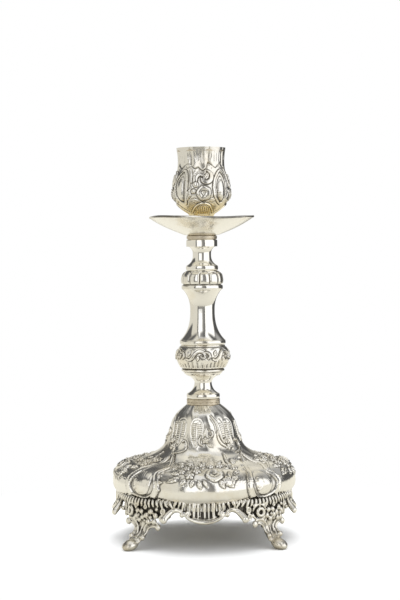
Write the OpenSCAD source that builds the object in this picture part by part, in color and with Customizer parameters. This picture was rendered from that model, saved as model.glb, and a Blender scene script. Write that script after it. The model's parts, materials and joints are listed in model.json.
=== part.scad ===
// Altar candlestick: a four-lobed base on scroll feet, a turned stem in stacked
// sections and a drip pan under a tulip socket, all clamped on one threaded rod.
// Millimetres. +Z is up, the origin is on the floor under the stem's axis, and a
// side of the base faces -Y.

/* [Base] */
// Distance from the axis to the middle of each side of the base
base_reach = 54.4; // [50:0.2:58]
// Distance from the axis to the centre of each of the four lobes
lobe_offset = 11; // [9:0.5:13]
// Height of the shell's lower edge above the floor
skirt_z = 23.4; // [22:0.2:26]
// Height of the cushion-shaped lower part of the shell
pillow_h = 27.8; // [25:0.2:31]
// Height of the bell-shaped upper part of the shell
dome_h = 28; // [27:0.5:36]
// Thickness of the shell's sheet metal
sheet = 0.9; // [0.6:0.1:1.2]

/* [Aprons and feet] */
// Thickness of the cast aprons
apron_t = 1.6; // [1.2:0.1:2.2]
// Half of the angle that an apron spans, seen from its lobe's centre
apron_half_angle = 33; // [28:1:34]
// Distance from the axis to the middle of each foot pad
foot_reach = 61.1; // [59:0.1:63]
// Radius of the ball that each foot stands on
pad_r = 4.2; // [3.6:0.1:5]

/* [Stem] */
// Height of the collar on top of the shell
collar_h = 3.6; // [2.4:0.2:5]
// Height of the narrow spool at the bottom of the stem
stem_foot_h = 14.4; // [12:0.2:18]
// Height of the lower knop
lower_knop_h = 18; // [14:0.5:24]
// Height of the plain baluster
baluster_h = 36; // [28:0.5:48]
// Height of the gadrooned knop
gadroon_h = 8.4; // [7:0.2:11]
// Height of the neck with its drum
neck_h = 18.6; // [15:0.2:24]
// Wall of the hollow stem sections
stem_wall = 1.2; // [0.8:0.1:1.6]

/* [Drip pan and socket] */
// Height of the ring between the neck and the drip pan
pan_ring_h = 2.4; // [1.6:0.2:4]
// Radius of the drip pan's rim
pan_r = 31.2; // [26:0.2:36]
// Height from the pan's floor to its rim
pan_h = 12; // [8:0.5:14]
// Height of the tulip socket
socket_h = 51.8; // [48:0.2:58]
// Width of the hole that takes the candle
candle_hole_d = 24; // [22:0.1:24.4]
// Depth of the hole that takes the candle
candle_hole_depth = 24; // [18:0.5:28]

/* [Fastenings] */
// Diameter of the rod's threads
rod_d = 6; // [5:0.1:6.4]
// Radial play between the rod and the parts on it
play = 0.06; // [0.02:0.01:0.09]
// Distance that the wing nut can be backed off on the rod
nut_travel = 6; // [3:0.5:8]

/* [Hidden] */
$fn = 96;

// Heights of the joints between the stacked pieces, from the floor up
pillow_top = skirt_z + pillow_h;
dome_top = pillow_top + dome_h;
stem_foot_z = dome_top + collar_h;
lower_knop_z = stem_foot_z + stem_foot_h;
baluster_z = lower_knop_z + lower_knop_h;
gadroon_z = baluster_z + baluster_h;
neck_z = gadroon_z + gadroon_h;
pan_ring_z = neck_z + neck_h;
pan_z = pan_ring_z + pan_ring_h;
pan_sheet = 1;
socket_z = pan_z + pan_sheet;
mouth_z = socket_z + socket_h;

rod_r = rod_d / 2;
rod_hole_r = rod_r + play;
lobe_r = base_reach - lobe_offset;      // lobe radius at its widest
skirt_inset = 2.5;                      // the lower edge is this much narrower
skirt_r = lobe_r - skirt_inset;         // lobe radius at the lower edge
skirt_band_h = 3.8;                     // height of the straight lower edge
spigot_r = 4.6;                         // centring spigot under each stem piece
spigot_h = 1.4;
big = 200;                              // longer than anything it cuts

// Points on a quadratic curve from a to c, pulled towards b
function curve(a, b, c, n = 6) =
    [for (i = [0:n]) let (t = i / n) a * (1 - t) * (1 - t) + b * 2 * t * (1 - t) + c * t * t];

// Points on a rounded moulding that stands out from radius r between two heights
function bead(r, out, z0, z1, n = 6) =
    [for (i = [0:n]) let (a = 180 * i / n - 90, half = (z1 - z0) / 2)
        [r + out * cos(a), z0 + half + half * sin(a)]];

// An outline drawn for a section 1 high, stretched to its height
function stretched(line, h) = [for (p = line) [p.x, p.y * h]];

// A line without the doubled points where its curves meet
function distinct(line) =
    [for (i = [0:len(line) - 1]) if (i == 0 || norm(line[i] - line[max(i - 1, 0)]) > 0.001) line[i]];

// The line a thickness t inside a line that has no doubled points
function inner(line, t) =
    [for (i = [0:len(line) - 1])
        let (run = line[min(i + 1, len(line) - 1)] - line[max(i - 1, 0)])
        line[i] + t / norm(run) * [-run.y, run.x]];

// ---- outlines: [radius, height], from the bottom up ----

stem_foot_line = stretched(concat(
    bead(9.4, 0.55, 0, 0.21),
    curve([9.4, 0.21], [5.4, 0.34], [5.15, 0.66]),
    curve([5.15, 0.68], [5.4, 0.9], [8.8, 1])
), stem_foot_h);

lower_knop_line = stretched(concat(
    curve([9.6, 0], [11.9, 0.07], [12.6, 0.18]),
    bead(13.2, 0.5, 0.19, 0.3),
    curve([13.9, 0.31], [16, 0.47], [15.95, 0.63]),
    curve([15.95, 0.63], [15.9, 0.81], [13.4, 1])
), lower_knop_h);

baluster_line = stretched(concat(
    [[12.9, 0]],
    bead(13.1, 0.7, 0.005, 0.083),
    curve([13.1, 0.086], [7.6, 0.24], [7.35, 0.52]),
    curve([7.35, 0.6], [7.5, 0.79], [11.6, 0.917]),
    bead(11.9, 0.5, 0.92, 0.994),
    [[11.5, 1]]
), baluster_h);

gadroon_line = stretched(concat(
    curve([11.5, 0], [12.4, 0.19], [12.1, 0.43]),
    curve([12.1, 0.43], [11.8, 0.83], [9.4, 1])
), gadroon_h);

neck_line = stretched(concat(
    bead(9, 0.65, 0, 0.168),
    curve([8.9, 0.172], [5.7, 0.27], [5.5, 0.46]),
    curve([5.5, 0.56], [5.6, 0.69], [7.7, 0.765]),
    [[9.3, 0.775]],
    curve([9.3, 0.95], [9.3, 1], [8.6, 1], 3)
), neck_h);

socket_line = stretched(concat(
    curve([7.6, 0], [7.4, 0.028], [5.9, 0.066]),
    curve([5.9, 0.105], [6, 0.185], [8.2, 0.236]),
    curve([8.2, 0.236], [15.4, 0.32], [17.4, 0.448]),
    curve([17.4, 0.448], [18, 0.58], [15.2, 0.714]),
    curve([15.2, 0.714], [13.6, 0.82], [15.2, 1])
), socket_h);

// A lobe of the shell, measured from the lobe's own centre
lobe_line = distinct(concat(
    [[skirt_r, skirt_z]],
    curve([skirt_r, skirt_z + skirt_band_h], [lobe_r, skirt_z + 5], [lobe_r, skirt_z + 9.6], 4),
    curve([lobe_r, skirt_z + 9.6], [lobe_r, pillow_top - 7.7], [lobe_r - 7.6, pillow_top - 4], 6),
    curve([lobe_r - 7.6, pillow_top - 4], [0.69 * lobe_r, pillow_top - 1.2], [0.35 * lobe_r, pillow_top], 4)
));

// The bell, measured from the stem's axis
dome_line = distinct(concat(
    curve([28, pillow_top - 1], [24.2, pillow_top + 1.3], [23.6, pillow_top + 5.8], 4),
    curve([23.6, pillow_top + 5.8], [21.2, dome_top - 12.7], [18.9, dome_top - 8.6], 4),
    curve([18.9, dome_top - 8.6], [16.5, dome_top - 4.2], [10.4, dome_top], 4)
));

// ---- shared shapes ----

module rod_hole() {
    translate([0, 0, -big]) cylinder(r = rod_hole_r, h = 2 * big);
}

// The solid inside a line that is turned round the axis, flat above and below
module turned(line) {
    rotate_extrude() polygon(concat([[0, line[0].y]], line, [[0, line[len(line) - 1].y]]));
}

// A hollow turned section of the stem: bored for the rod, with a spigot below that
// seats in the recess of the section under it
module stem_section(line, z) {
    h = line[len(line) - 1].y;
    end_wall = 2.4;
    translate([0, 0, z]) difference() {
        union() {
            turned(line);
            translate([0, 0, -spigot_h]) cylinder(r = spigot_r, h = 2 * spigot_h);
        }
        turned([for (p = line) if (p.y > end_wall && p.y < h - end_wall) [p.x - stem_wall, p.y]]);
        translate([0, 0, h - spigot_h - play]) cylinder(r = spigot_r + play, h = big);
        rod_hole();
    }
}

// A thing placed once on each of the base's four lobes
module on_lobes() {
    for (i = [0:3]) rotate([0, 0, 90 * i]) translate([lobe_offset, 0, 0]) children();
}

// A band bent round a circle that lies across the foot's leg, like a C-scroll
module scroll_ring(outer_r, band, width) {
    rotate([90, 0, 0]) difference() {
        cylinder(r = outer_r, h = width, center = true);
        cylinder(r = outer_r - band, h = big, center = true);
    }
}

// ---- base ----

module base_shell() {
    mouth = [[skirt_r - sheet, 0]];
    color("silver") difference() {
        union() {
            on_lobes() turned(lobe_line);
            turned(dome_line);
        }
        on_lobes() turned(concat(mouth, inner(lobe_line, sheet)));
        turned(inner(dome_line, sheet));
        rod_hole();
    }
}

module base_collar() {
    collar_r = 9.95;
    color("tan") difference() {
        translate([0, 0, dome_top]) cylinder(r = collar_r, h = collar_h);
        translate([0, 0, stem_foot_z - spigot_h - play]) cylinder(r = spigot_r + play, h = big);
        rod_hole();
    }
}

clamp_disc_h = 3;
clamp_disc_z = dome_top - sheet - clamp_disc_h;

module clamp_disc() {
    color("darkgray") difference() {
        translate([0, 0, clamp_disc_z]) cylinder(r = 8.8, h = clamp_disc_h);
        rod_hole();
    }
}

// The apron's outline seen from the front: a fluted gallery over a hanging C-scroll
// with a small scroll drop at each end
module apron_outline() {
    gallery_top = skirt_z + skirt_band_h - 0.2;
    gallery_h = 5.4;
    gallery_w = 60;
    hanging_r = 12.1;
    hanging_drop = 5.7;
    drop_x = 22.6;
    drop_r = 3;
    intersection() {
        translate([-gallery_w / 2, 0]) square([gallery_w, gallery_top]);
        union() {
            translate([-gallery_w / 2, gallery_top - gallery_h]) square([gallery_w, gallery_h]);
            translate([0, skirt_z - hanging_drop + hanging_r]) circle(r = hanging_r);
            for (side = [-1, 1]) translate([side * drop_x, skirt_z - drop_r - 0.4]) circle(r = drop_r);
        }
    }
}

// A cast apron on one side of the base: its section is straight at the top and flares
// out to a lip at its lower edge
module apron(turn) {
    top_z = skirt_z + skirt_band_h;
    lip_z = skirt_z - 6.2;
    lip_out = 4;
    inner_r = skirt_r + 0.01;
    outer_r = inner_r + apron_t;
    back_line = curve([inner_r, top_z - 5], [inner_r + 0.4, lip_z + 3.6], [inner_r + lip_out, lip_z], 4);
    front_line = curve([outer_r + lip_out, lip_z + 0.6], [outer_r + 0.6, top_z - 7], [outer_r, top_z - 4], 4);
    section = concat(back_line, front_line, [[outer_r, top_z], [inner_r, top_z]]);
    color("silver") rotate([0, 0, turn]) intersection() {
        translate([lobe_offset, 0, 0]) rotate([0, 0, -apron_half_angle])
            rotate_extrude(angle = 2 * apron_half_angle) polygon(section);
        rotate([90, 0, 90]) linear_extrude(height = big) apron_outline();
    }
}

module apron_front() { apron(-90); }
module apron_right() { apron(0); }
module apron_back() { apron(90); }
module apron_left() { apron(180); }

// A cast foot: a knee against the shell's corner, a leg that sweeps down and out to a
// ball, and a C-scroll on each side of the leg
module foot(turn) {
    knee_half_angle = 17;
    knee_z = 17;
    knee_top = skirt_z + skirt_band_h - 0.2;
    leg_w = 6;
    leg_bend_r = 12.5;
    leg_t = 4.2;
    leg_start = 170;
    leg_sweep = 94;
    scroll_r = 4.8;
    scroll_side = 8;
    color("silver") rotate([0, 0, turn]) difference() {
        union() {
            rotate([0, 0, -knee_half_angle]) rotate_extrude(angle = 2 * knee_half_angle)
                translate([44, knee_z]) square([10, knee_top - knee_z]);
            translate([foot_reach + 1.6, leg_w / 2, knee_z]) rotate([90, 0, 0])
                rotate([0, 0, leg_start]) rotate_extrude(angle = leg_sweep)
                    translate([leg_bend_r - leg_t, 0]) square([leg_t, leg_w]);
            translate([foot_reach, 0, pad_r - 0.8]) sphere(r = pad_r);
            for (side = [-1, 1]) translate([52, side * scroll_side, knee_z - 1.6])
                rotate([0, 0, 90]) scroll_ring(scroll_r, 1.8, 3.6);
        }
        rotate([0, 0, 45]) on_lobes() cylinder(r = skirt_r + 0.01, h = big);
        rotate([0, 0, 45]) on_lobes() rotate([0, 0, -apron_half_angle])
            rotate_extrude(angle = 2 * apron_half_angle) square([skirt_r + 10, big]);
        translate([0, 0, -big]) cylinder(r = big, h = big);
    }
}

module foot_front_left() { foot(225); }
module foot_front_right() { foot(315); }
module foot_back_right() { foot(45); }
module foot_back_left() { foot(135); }

// ---- stem ----

module stem_foot() { color("silver") stem_section(stem_foot_line, stem_foot_z); }
module lower_knop() { color("silver") stem_section(lower_knop_line, lower_knop_z); }
module baluster() { color("silver") stem_section(baluster_line, baluster_z); }
module gadrooned_knop() { color("silver") stem_section(gadroon_line, gadroon_z); }
module neck() { color("silver") stem_section(neck_line, neck_z); }

module pan_ring() {
    color("tan") translate([0, 0, pan_ring_z]) difference() {
        union() {
            turned(stretched(bead(8.7, 0.4, 0, 1, 4), pan_ring_h));
            translate([0, 0, -spigot_h]) cylinder(r = spigot_r, h = 2 * spigot_h);
        }
        rod_hole();
    }
}

// ---- drip pan and socket ----

module drip_pan() {
    under = curve([8.8, 0], [0.77 * pan_r, 0.46 * pan_h], [pan_r, pan_h - 0.8], 10);
    upper = [for (i = [len(under) - 1:-1:0]) [under[i].x - 0.35, under[i].y + pan_sheet]];
    color("silver") translate([0, 0, pan_z]) difference() {
        rotate_extrude() polygon(concat([[0, 0]], under, upper, [[0, pan_sheet]]));
        rod_hole();
    }
}

boss_r = 4.6;
boss_h = 13.6;
socket_wall = 1.2;
mouth_step_h = 2.8;                     // depth of the step that the cup hangs on
mouth_step_r = 14.4;

module socket() {
    cavity_z = boss_h + 0.2;
    color("silver") translate([0, 0, socket_z]) difference() {
        turned(socket_line);
        turned([for (p = socket_line) if (p.y > cavity_z) [p.x - socket_wall, p.y]]);
        translate([0, 0, socket_h - mouth_step_h]) cylinder(r = mouth_step_r, h = big);
        translate([0, 0, -1]) cylinder(r = boss_r + 0.01, h = cavity_z + 3);
    }
}

module socket_boss() {
    color("goldenrod") difference() {
        translate([0, 0, socket_z]) cylinder(r = boss_r, h = boss_h);
        rod_hole();
    }
}

// The liner that takes the candle: a straight cup that hangs from its flange
module candle_cup() {
    hole_r = candle_hole_d / 2;
    cup_wall = 0.9;
    flange_z = mouth_z - mouth_step_h;
    color("silver") difference() {
        union() {
            translate([0, 0, flange_z]) cylinder(r = mouth_step_r - 0.1, h = cup_wall);
            translate([0, 0, flange_z - candle_hole_depth])
                cylinder(r = hole_r + cup_wall, h = candle_hole_depth + cup_wall);
        }
        translate([0, 0, flange_z + cup_wall - candle_hole_depth]) cylinder(r = hole_r, h = big);
    }
}

// ---- fastenings inside the stem and the bell ----

washer_h = 1.4;
nut_h = 6.5;
washer_z = clamp_disc_z - washer_h;
nut_z = washer_z - nut_h;

module tie_rod() {
    bottom = nut_z - nut_travel - 2;
    top = socket_z + boss_h - 0.2;
    lower_thread_top = dome_top + 8;
    upper_thread_bottom = pan_ring_z - 8;
    shank_r = rod_r - 0.35;
    chamfer = 0.6;
    color("dimgray") rotate_extrude() polygon([
        [0, bottom], [rod_r - chamfer, bottom], [rod_r, bottom + chamfer],
        [rod_r, lower_thread_top], [shank_r, lower_thread_top + chamfer],
        [shank_r, upper_thread_bottom - chamfer], [rod_r, upper_thread_bottom],
        [rod_r, top - chamfer], [rod_r - chamfer, top], [0, top]
    ]);
}

module washer() {
    color("lightgray") difference() {
        translate([0, 0, washer_z]) cylinder(r = 7.5, h = washer_h);
        rod_hole();
    }
}

module wing_nut() {
    wing_t = 2.2;
    wing_r = 3.6;
    wing_x = 7.4;
    color("goldenrod") difference() {
        union() {
            translate([0, 0, nut_z]) cylinder(r1 = 4.6, r2 = 5.4, h = nut_h);
            translate([0, wing_t / 2, nut_z]) rotate([90, 0, 0]) linear_extrude(height = wing_t) {
                for (side = [-1, 1]) translate([side * wing_x, wing_r - 1.6]) circle(r = wing_r);
                translate([-wing_x, 0.6]) square([2 * wing_x, nut_h - 2.6]);
            }
        }
        rod_hole();
    }
}

base_shell();
base_collar();
clamp_disc();
apron_front();
apron_right();
apron_back();
apron_left();
foot_front_left();
foot_front_right();
foot_back_right();
foot_back_left();
stem_foot();
lower_knop();
baluster();
gadrooned_knop();
neck();
pan_ring();
tie_rod();
washer();
wing_nut();
drip_pan();
socket();
socket_boss();
candle_cup();
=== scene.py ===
# Looks of a chased silver altar candlestick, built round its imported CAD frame.
# Shapes are worked out in millimetres and turned into metres as each mesh is made.
import json
import math

import bpy
import numpy as np
from mathutils import Matrix, Vector


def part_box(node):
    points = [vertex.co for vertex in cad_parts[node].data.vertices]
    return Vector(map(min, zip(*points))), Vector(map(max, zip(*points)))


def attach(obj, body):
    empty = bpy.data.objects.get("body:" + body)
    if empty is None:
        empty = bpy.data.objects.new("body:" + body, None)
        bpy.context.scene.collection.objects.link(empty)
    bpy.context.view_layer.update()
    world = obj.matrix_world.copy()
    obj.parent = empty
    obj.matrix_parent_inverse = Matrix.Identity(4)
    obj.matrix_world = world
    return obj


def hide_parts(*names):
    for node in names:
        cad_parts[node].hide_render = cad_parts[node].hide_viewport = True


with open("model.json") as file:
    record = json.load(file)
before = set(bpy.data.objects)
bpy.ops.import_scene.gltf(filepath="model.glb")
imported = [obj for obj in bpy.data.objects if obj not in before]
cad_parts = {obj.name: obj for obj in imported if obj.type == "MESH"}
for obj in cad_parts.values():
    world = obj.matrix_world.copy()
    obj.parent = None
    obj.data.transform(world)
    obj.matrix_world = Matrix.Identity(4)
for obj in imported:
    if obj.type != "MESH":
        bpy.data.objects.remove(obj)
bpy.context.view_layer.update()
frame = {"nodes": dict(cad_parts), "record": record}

MM = 0.001
TAU = 2 * math.pi


# ---------------------------------------------------------------- frame sizes

def radius_of(node):
    """Radius of a round node."""
    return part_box(node)[1][0] / MM


def top_of(node):
    """Height of a node's top above the floor."""
    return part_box(node)[1][2] / MM


def bottom_of(node):
    """Height of a node's lowest point above the floor."""
    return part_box(node)[0][2] / MM


FLOOR_Z = bottom_of("foot_front_left")
SKIRT_Z = bottom_of("base_shell")
DOME_TOP = top_of("base_shell")
ROD_CLEARANCE = 0.1
BORE_R = radius_of("tie_rod") + ROD_CLEARANCE


# ---------------------------------------------------------------- lines and meshes

SPAN_POINTS = 14
EDGE_DEG = 38.0


def run_of(line):
    """How far along a line each of its points lies."""
    return np.r_[0, np.cumsum(np.linalg.norm(np.diff(line, axis=0), axis=1))]


def through(points, step):
    """Evenly spaced points, about step apart, on a smooth curve through the given points."""
    p = fine = np.array(points, float)
    if len(p) > 2:
        t = run_of(p)
        slope = np.gradient(p, t, axis=0)
        u = np.linspace(0, 1, SPAN_POINTS, endpoint=False)[:, None]
        rows = []
        for i in range(len(p) - 1):
            h = t[i + 1] - t[i]
            rows.append((2 * u ** 3 - 3 * u ** 2 + 1) * p[i] + (u ** 3 - 2 * u ** 2 + u) * h * slope[i]
                        + (3 * u ** 2 - 2 * u ** 3) * p[i + 1] + (u ** 3 - u ** 2) * h * slope[i + 1])
        fine = np.vstack(rows + [p[-1:]])
    run = run_of(fine)
    count = max(2, int(round(run[-1] / step)) + 1)
    at = np.linspace(0, run[-1], count)
    return np.stack([np.interp(at, run, fine[:, k]) for k in range(p.shape[1])], 1)


def smoothstep(x):
    x = np.clip(x, 0, 1)
    return x * x * (3 - 2 * x)


def new_mesh(name, points, faces, recess, crease_deg):
    """A smooth-shaded mesh object from points in mm and faces of four corners; recess darkens it."""
    mesh = bpy.data.meshes.new(name)
    mesh.vertices.add(len(points))
    mesh.vertices.foreach_set("co", (np.asarray(points, np.float64) * MM).astype(np.float32).ravel())
    mesh.loops.add(faces.size)
    mesh.loops.foreach_set("vertex_index", faces.astype(np.int32).ravel())
    mesh.polygons.add(len(faces))
    mesh.polygons.foreach_set("loop_start", np.arange(0, faces.size, 4, dtype=np.int32))
    mesh.update(calc_edges=True)
    mesh.polygons.foreach_set("use_smooth", np.ones(len(faces), bool))
    if crease_deg:
        mesh.set_sharp_from_angle(angle=math.radians(crease_deg))
    layer = mesh.attributes.new("recess", "FLOAT", "POINT")
    layer.data.foreach_set("value", recess.astype(np.float32))
    piece = bpy.data.objects.new(name, mesh)
    bpy.context.scene.collection.objects.link(piece)
    return piece


def ring_mesh(name, rings, recess=None, crease_deg=EDGE_DEG):
    """A closed mesh from a closed chain of rings, an array of (rings, points round, 3).

    recess covers the first rings; the others have none.
    """
    m, n = rings.shape[:2]
    i, j = np.meshgrid(np.arange(m), np.arange(n), indexing="ij")
    up, on = (i + 1) % m, (j + 1) % n
    faces = np.stack([i * n + j, i * n + on, up * n + on, up * n + j], -1).reshape(-1, 4)
    values = np.zeros(m * n)
    if recess is not None:
        values[: recess.size] = recess.ravel()
    return new_mesh(name, rings.reshape(-1, 3), faces, values, crease_deg)


def angles(n):
    return np.arange(n) * TAU / n


def turned(radius, a, z):
    """Rings of points round the axis at the angles a, from radii and heights."""
    radius, z, a = np.broadcast_arrays(radius, z, a)
    return np.stack([radius * np.cos(a), radius * np.sin(a), z], -1)


def moved_out(rings, distance):
    """Rings whose points are moved away from the axis."""
    radius = np.hypot(rings[..., 0], rings[..., 1])
    rings[..., :2] *= (1 + distance / radius)[..., None]
    return rings


def angle_of(rings):
    return np.arctan2(rings[..., 1], rings[..., 0])


def surface_normals(rings):
    """Outward normals of a grid whose rows climb and whose columns run anticlockwise."""
    along = np.roll(rings, -1, 1) - np.roll(rings, 1, 1)
    normal = np.cross(along, np.gradient(rings, axis=0))
    return normal / (np.linalg.norm(normal, axis=-1, keepdims=True) + 1e-9)


def blurred(field, cells):
    """A field averaged over its neighbours; columns wrap round and rows don't."""
    out = field
    for _ in range(3):
        out = (np.roll(out, cells, 1) + out + np.roll(out, -cells, 1)) / 3
        padded = np.pad(out, ((cells, cells), (0, 0)), mode="edge")
        out = (padded[: -2 * cells] + out + padded[2 * cells:]) / 3
    return out


def recess_of(height, cells, gain):
    """How far each point lies below its surroundings, from 0 to 1."""
    return np.clip((blurred(height, cells) - height) * gain, 0, 1)


def chased_recess(height, gain):
    """Sharp dark lines in fine hollows, and a softer tone in wide ones."""
    return np.maximum(recess_of(height, 2, gain), 0.5 * recess_of(height, 6, 1.0))


# ---------------------------------------------------------------- chased relief

PATH_STEP = 0.7


class Relief:
    """Raised and cut work drawn on a chart, in mm: x runs round the piece, y climbs it."""

    def __init__(self, x, y):
        self.x, self.y = x, y
        self.up = np.zeros_like(x)
        self.down = np.zeros_like(x)

    def near(self, x0, x1, y0, y1):
        return np.nonzero((self.x > x0) & (self.x < x1) & (self.y > y0) & (self.y < y1))

    def along(self, path, margin):
        """Points near a smooth path, their distances from it and places on it, and its length."""
        p = through(path, PATH_STEP)
        here = self.near(p[:, 0].min() - margin, p[:, 0].max() + margin,
                         p[:, 1].min() - margin, p[:, 1].max() + margin)
        px, py = self.x[here], self.y[here]
        distance = np.full(px.shape, 1e9)
        place = np.zeros(px.shape)
        run = 0.0
        for a, b in zip(p[:-1], p[1:]):
            d = b - a
            length = math.hypot(*d)
            t = np.clip(((px - a[0]) * d[0] + (py - a[1]) * d[1]) / (length * length), 0, 1)
            gap = np.hypot(px - a[0] - t * d[0], py - a[1] - t * d[1])
            closer = gap < distance
            distance = np.where(closer, gap, distance)
            place = np.where(closer, run + t * length, place)
            run += length
        return here, distance, place, run

    def lift(self, here, value):
        self.up[here] = np.maximum(self.up[here], value)

    def cut(self, here, value):
        self.down[here] = np.maximum(self.down[here], value)

    def edge_groove(self, here, outside, depth=0.15, width=0.25):
        """The dark line that a chaser's tool leaves round a raised shape."""
        self.cut(here, depth * np.exp(-((outside - width) / width) ** 2))

    def stroke(self, path, widths, height, rim=0.0):
        """A raised band with the given half-widths along its path; rim hollows its middle."""
        here, distance, place, run = self.along(path, max(widths) + 1.2)
        half = np.interp(place / run, np.linspace(0, 1, len(widths)), widths)
        q = distance / half
        body = np.sqrt(np.clip(1 - q * q, 0, 1))
        if rim:
            body = body * (1 - rim) + rim * np.exp(-((q - 0.72) / 0.2) ** 2) * (q < 1)
        self.lift(here, height * body)
        self.edge_groove(here, distance - half)

    def groove(self, path, width, depth):
        here, distance, _, _ = self.along(path, width * 3)
        self.cut(here, depth * np.exp(-(distance / width) ** 2))

    def ladder(self, path, half, pitch, depth):
        """Short rungs cut across a path."""
        here, distance, place, run = self.along(path, half + 0.5)
        rung = np.exp(-(((place + pitch / 2) % pitch - pitch / 2) / (0.24 * pitch)) ** 2)
        inside = (distance < half) & (place > 0.01) & (place < run - 0.01)
        self.cut(here, depth * rung * inside)

    def square(self, x, y, reach):
        """Points in a square round x, y, and how far right of it and above it they lie."""
        here = self.near(x - reach, x + reach, y - reach, y + reach)
        return here, self.x[here] - x, self.y[here] - y

    def polar(self, x, y, reach):
        here, dx, dy = self.square(x, y, reach)
        return here, np.hypot(dx, dy), np.arctan2(dy, dx)

    def ball(self, x, y, r, height):
        here, d, _ = self.polar(x, y, r + 1)
        self.lift(here, height * np.sqrt(np.clip(1 - (d / r) ** 2, 0, 1)))
        self.edge_groove(here, d - r, 0.16, 0.2)

    def oval(self, x, y, rx, ry, height, power=2.0):
        here, dx, dy = self.square(x, y, max(rx, ry) + 1)
        q = (np.abs(dx / rx) ** power + np.abs(dy / ry) ** power) ** (1 / power)
        self.lift(here, height * np.sqrt(np.clip(1 - q * q, 0, 1)))
        self.edge_groove(here, (q - 1) * min(rx, ry))

    def leaf(self, x, y, turn_deg, length, half, height, veins):
        """A leaf that starts at x, y and points along turn_deg, with a midrib and side veins."""
        here, dx, dy = self.square(x, y, length + 1)
        turn = math.radians(turn_deg)
        a = (dx * math.cos(turn) + dy * math.sin(turn)) / length
        b = dy * math.cos(turn) - dx * math.sin(turn)
        inside = (a > 0) & (a < 1)
        along = np.clip(a, 1e-4, 1 - 1e-4)
        lobes = 1 + 0.12 * np.cos(TAU * veins * along)
        wide = half * np.sin(math.pi * along ** 0.8) ** 0.8 * lobes
        q = np.abs(b) / (wide + 1e-6)
        crown = np.sqrt(np.clip(1 - q * q, 0, 1)) * (0.65 + 0.35 * np.sin(math.pi * along))
        rib = 0.45 * np.exp(-(b / 0.32) ** 2)
        vein = 0.22 * (0.5 + 0.5 * np.cos(TAU * (veins * along - np.abs(b) / half * 1.2)))
        self.lift(here, np.where(inside, height * crown * (1 - rib - vein), 0))
        gap = np.where(inside, np.abs(b) - wide, np.hypot(np.where(a < 0, a, a - 1) * length, b))
        self.edge_groove(here, gap)

    def flower(self, x, y, r, height, turn):
        """An open blossom: five petals round a ball."""
        here, d, phi = self.polar(x, y, r + 1)
        phase = (phi - turn) * 5 / 2
        rim = r * (0.66 + 0.34 * np.abs(np.cos(phase)))
        q = d / rim
        cup = np.sqrt(np.clip(1 - q * q, 0, 1)) * (0.6 + 0.4 * smoothstep(d / r * 1.6))
        split = np.exp(-((np.cos(phase) * d) / 0.28) ** 2) * (d > 0.25 * r)
        self.lift(here, height * cup * (1 - 0.5 * split))
        self.edge_groove(here, d - rim, 0.2, 0.22)
        self.ball(x, y, 0.3 * r, height * 1.15)

    def rose(self, x, y, r, height, turn):
        """A full rose: petals that wind outwards round a bud."""
        here, d, phi = self.polar(x, y, r + 1)
        rim = r * (0.965 + 0.035 * np.cos(5 * (phi - turn)))
        q = d / rim
        wind = 3.0 * q ** 0.9 + (phi - turn) / TAU + 0.12 * np.sin(3 * (phi - turn))
        layer = wind - np.floor(wind)
        body = np.clip(1 - q ** 4, 0, 1) ** 0.5 * (1 - 0.3 * q)
        self.lift(here, height * body * (0.55 + 0.45 * layer ** 1.5))
        self.edge_groove(here, d - rim, 0.2, 0.3)
        self.ball(x, y, 0.15 * r, height * 0.95)

    def dots(self, places, r=0.36, depth=0.2):
        for x, y in places:
            here, d, _ = self.polar(x, y, 3 * r)
            self.cut(here, depth * np.exp(-(d / r) ** 2))

    def height(self):
        """The drawn surface: grooves fade where something is raised over them."""
        return self.up - self.down * np.exp(-(self.up / 0.7) ** 2)


def scatter(seed, count, x0, x1, y0, y1):
    """Places for punch marks, spread without a pattern but the same at every run."""
    rng = np.random.default_rng(seed)
    return np.stack([rng.uniform(x0, x1, count), rng.uniform(y0, y1, count)], 1)


# ---------------------------------------------------------------- cast work

END_RINGS = 3
POLE_GAP = 0.12
VOXEL = 0.3
SOFTENING = 2


def unit(vector):
    vector = np.array(vector, float)
    return vector / np.linalg.norm(vector)


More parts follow.
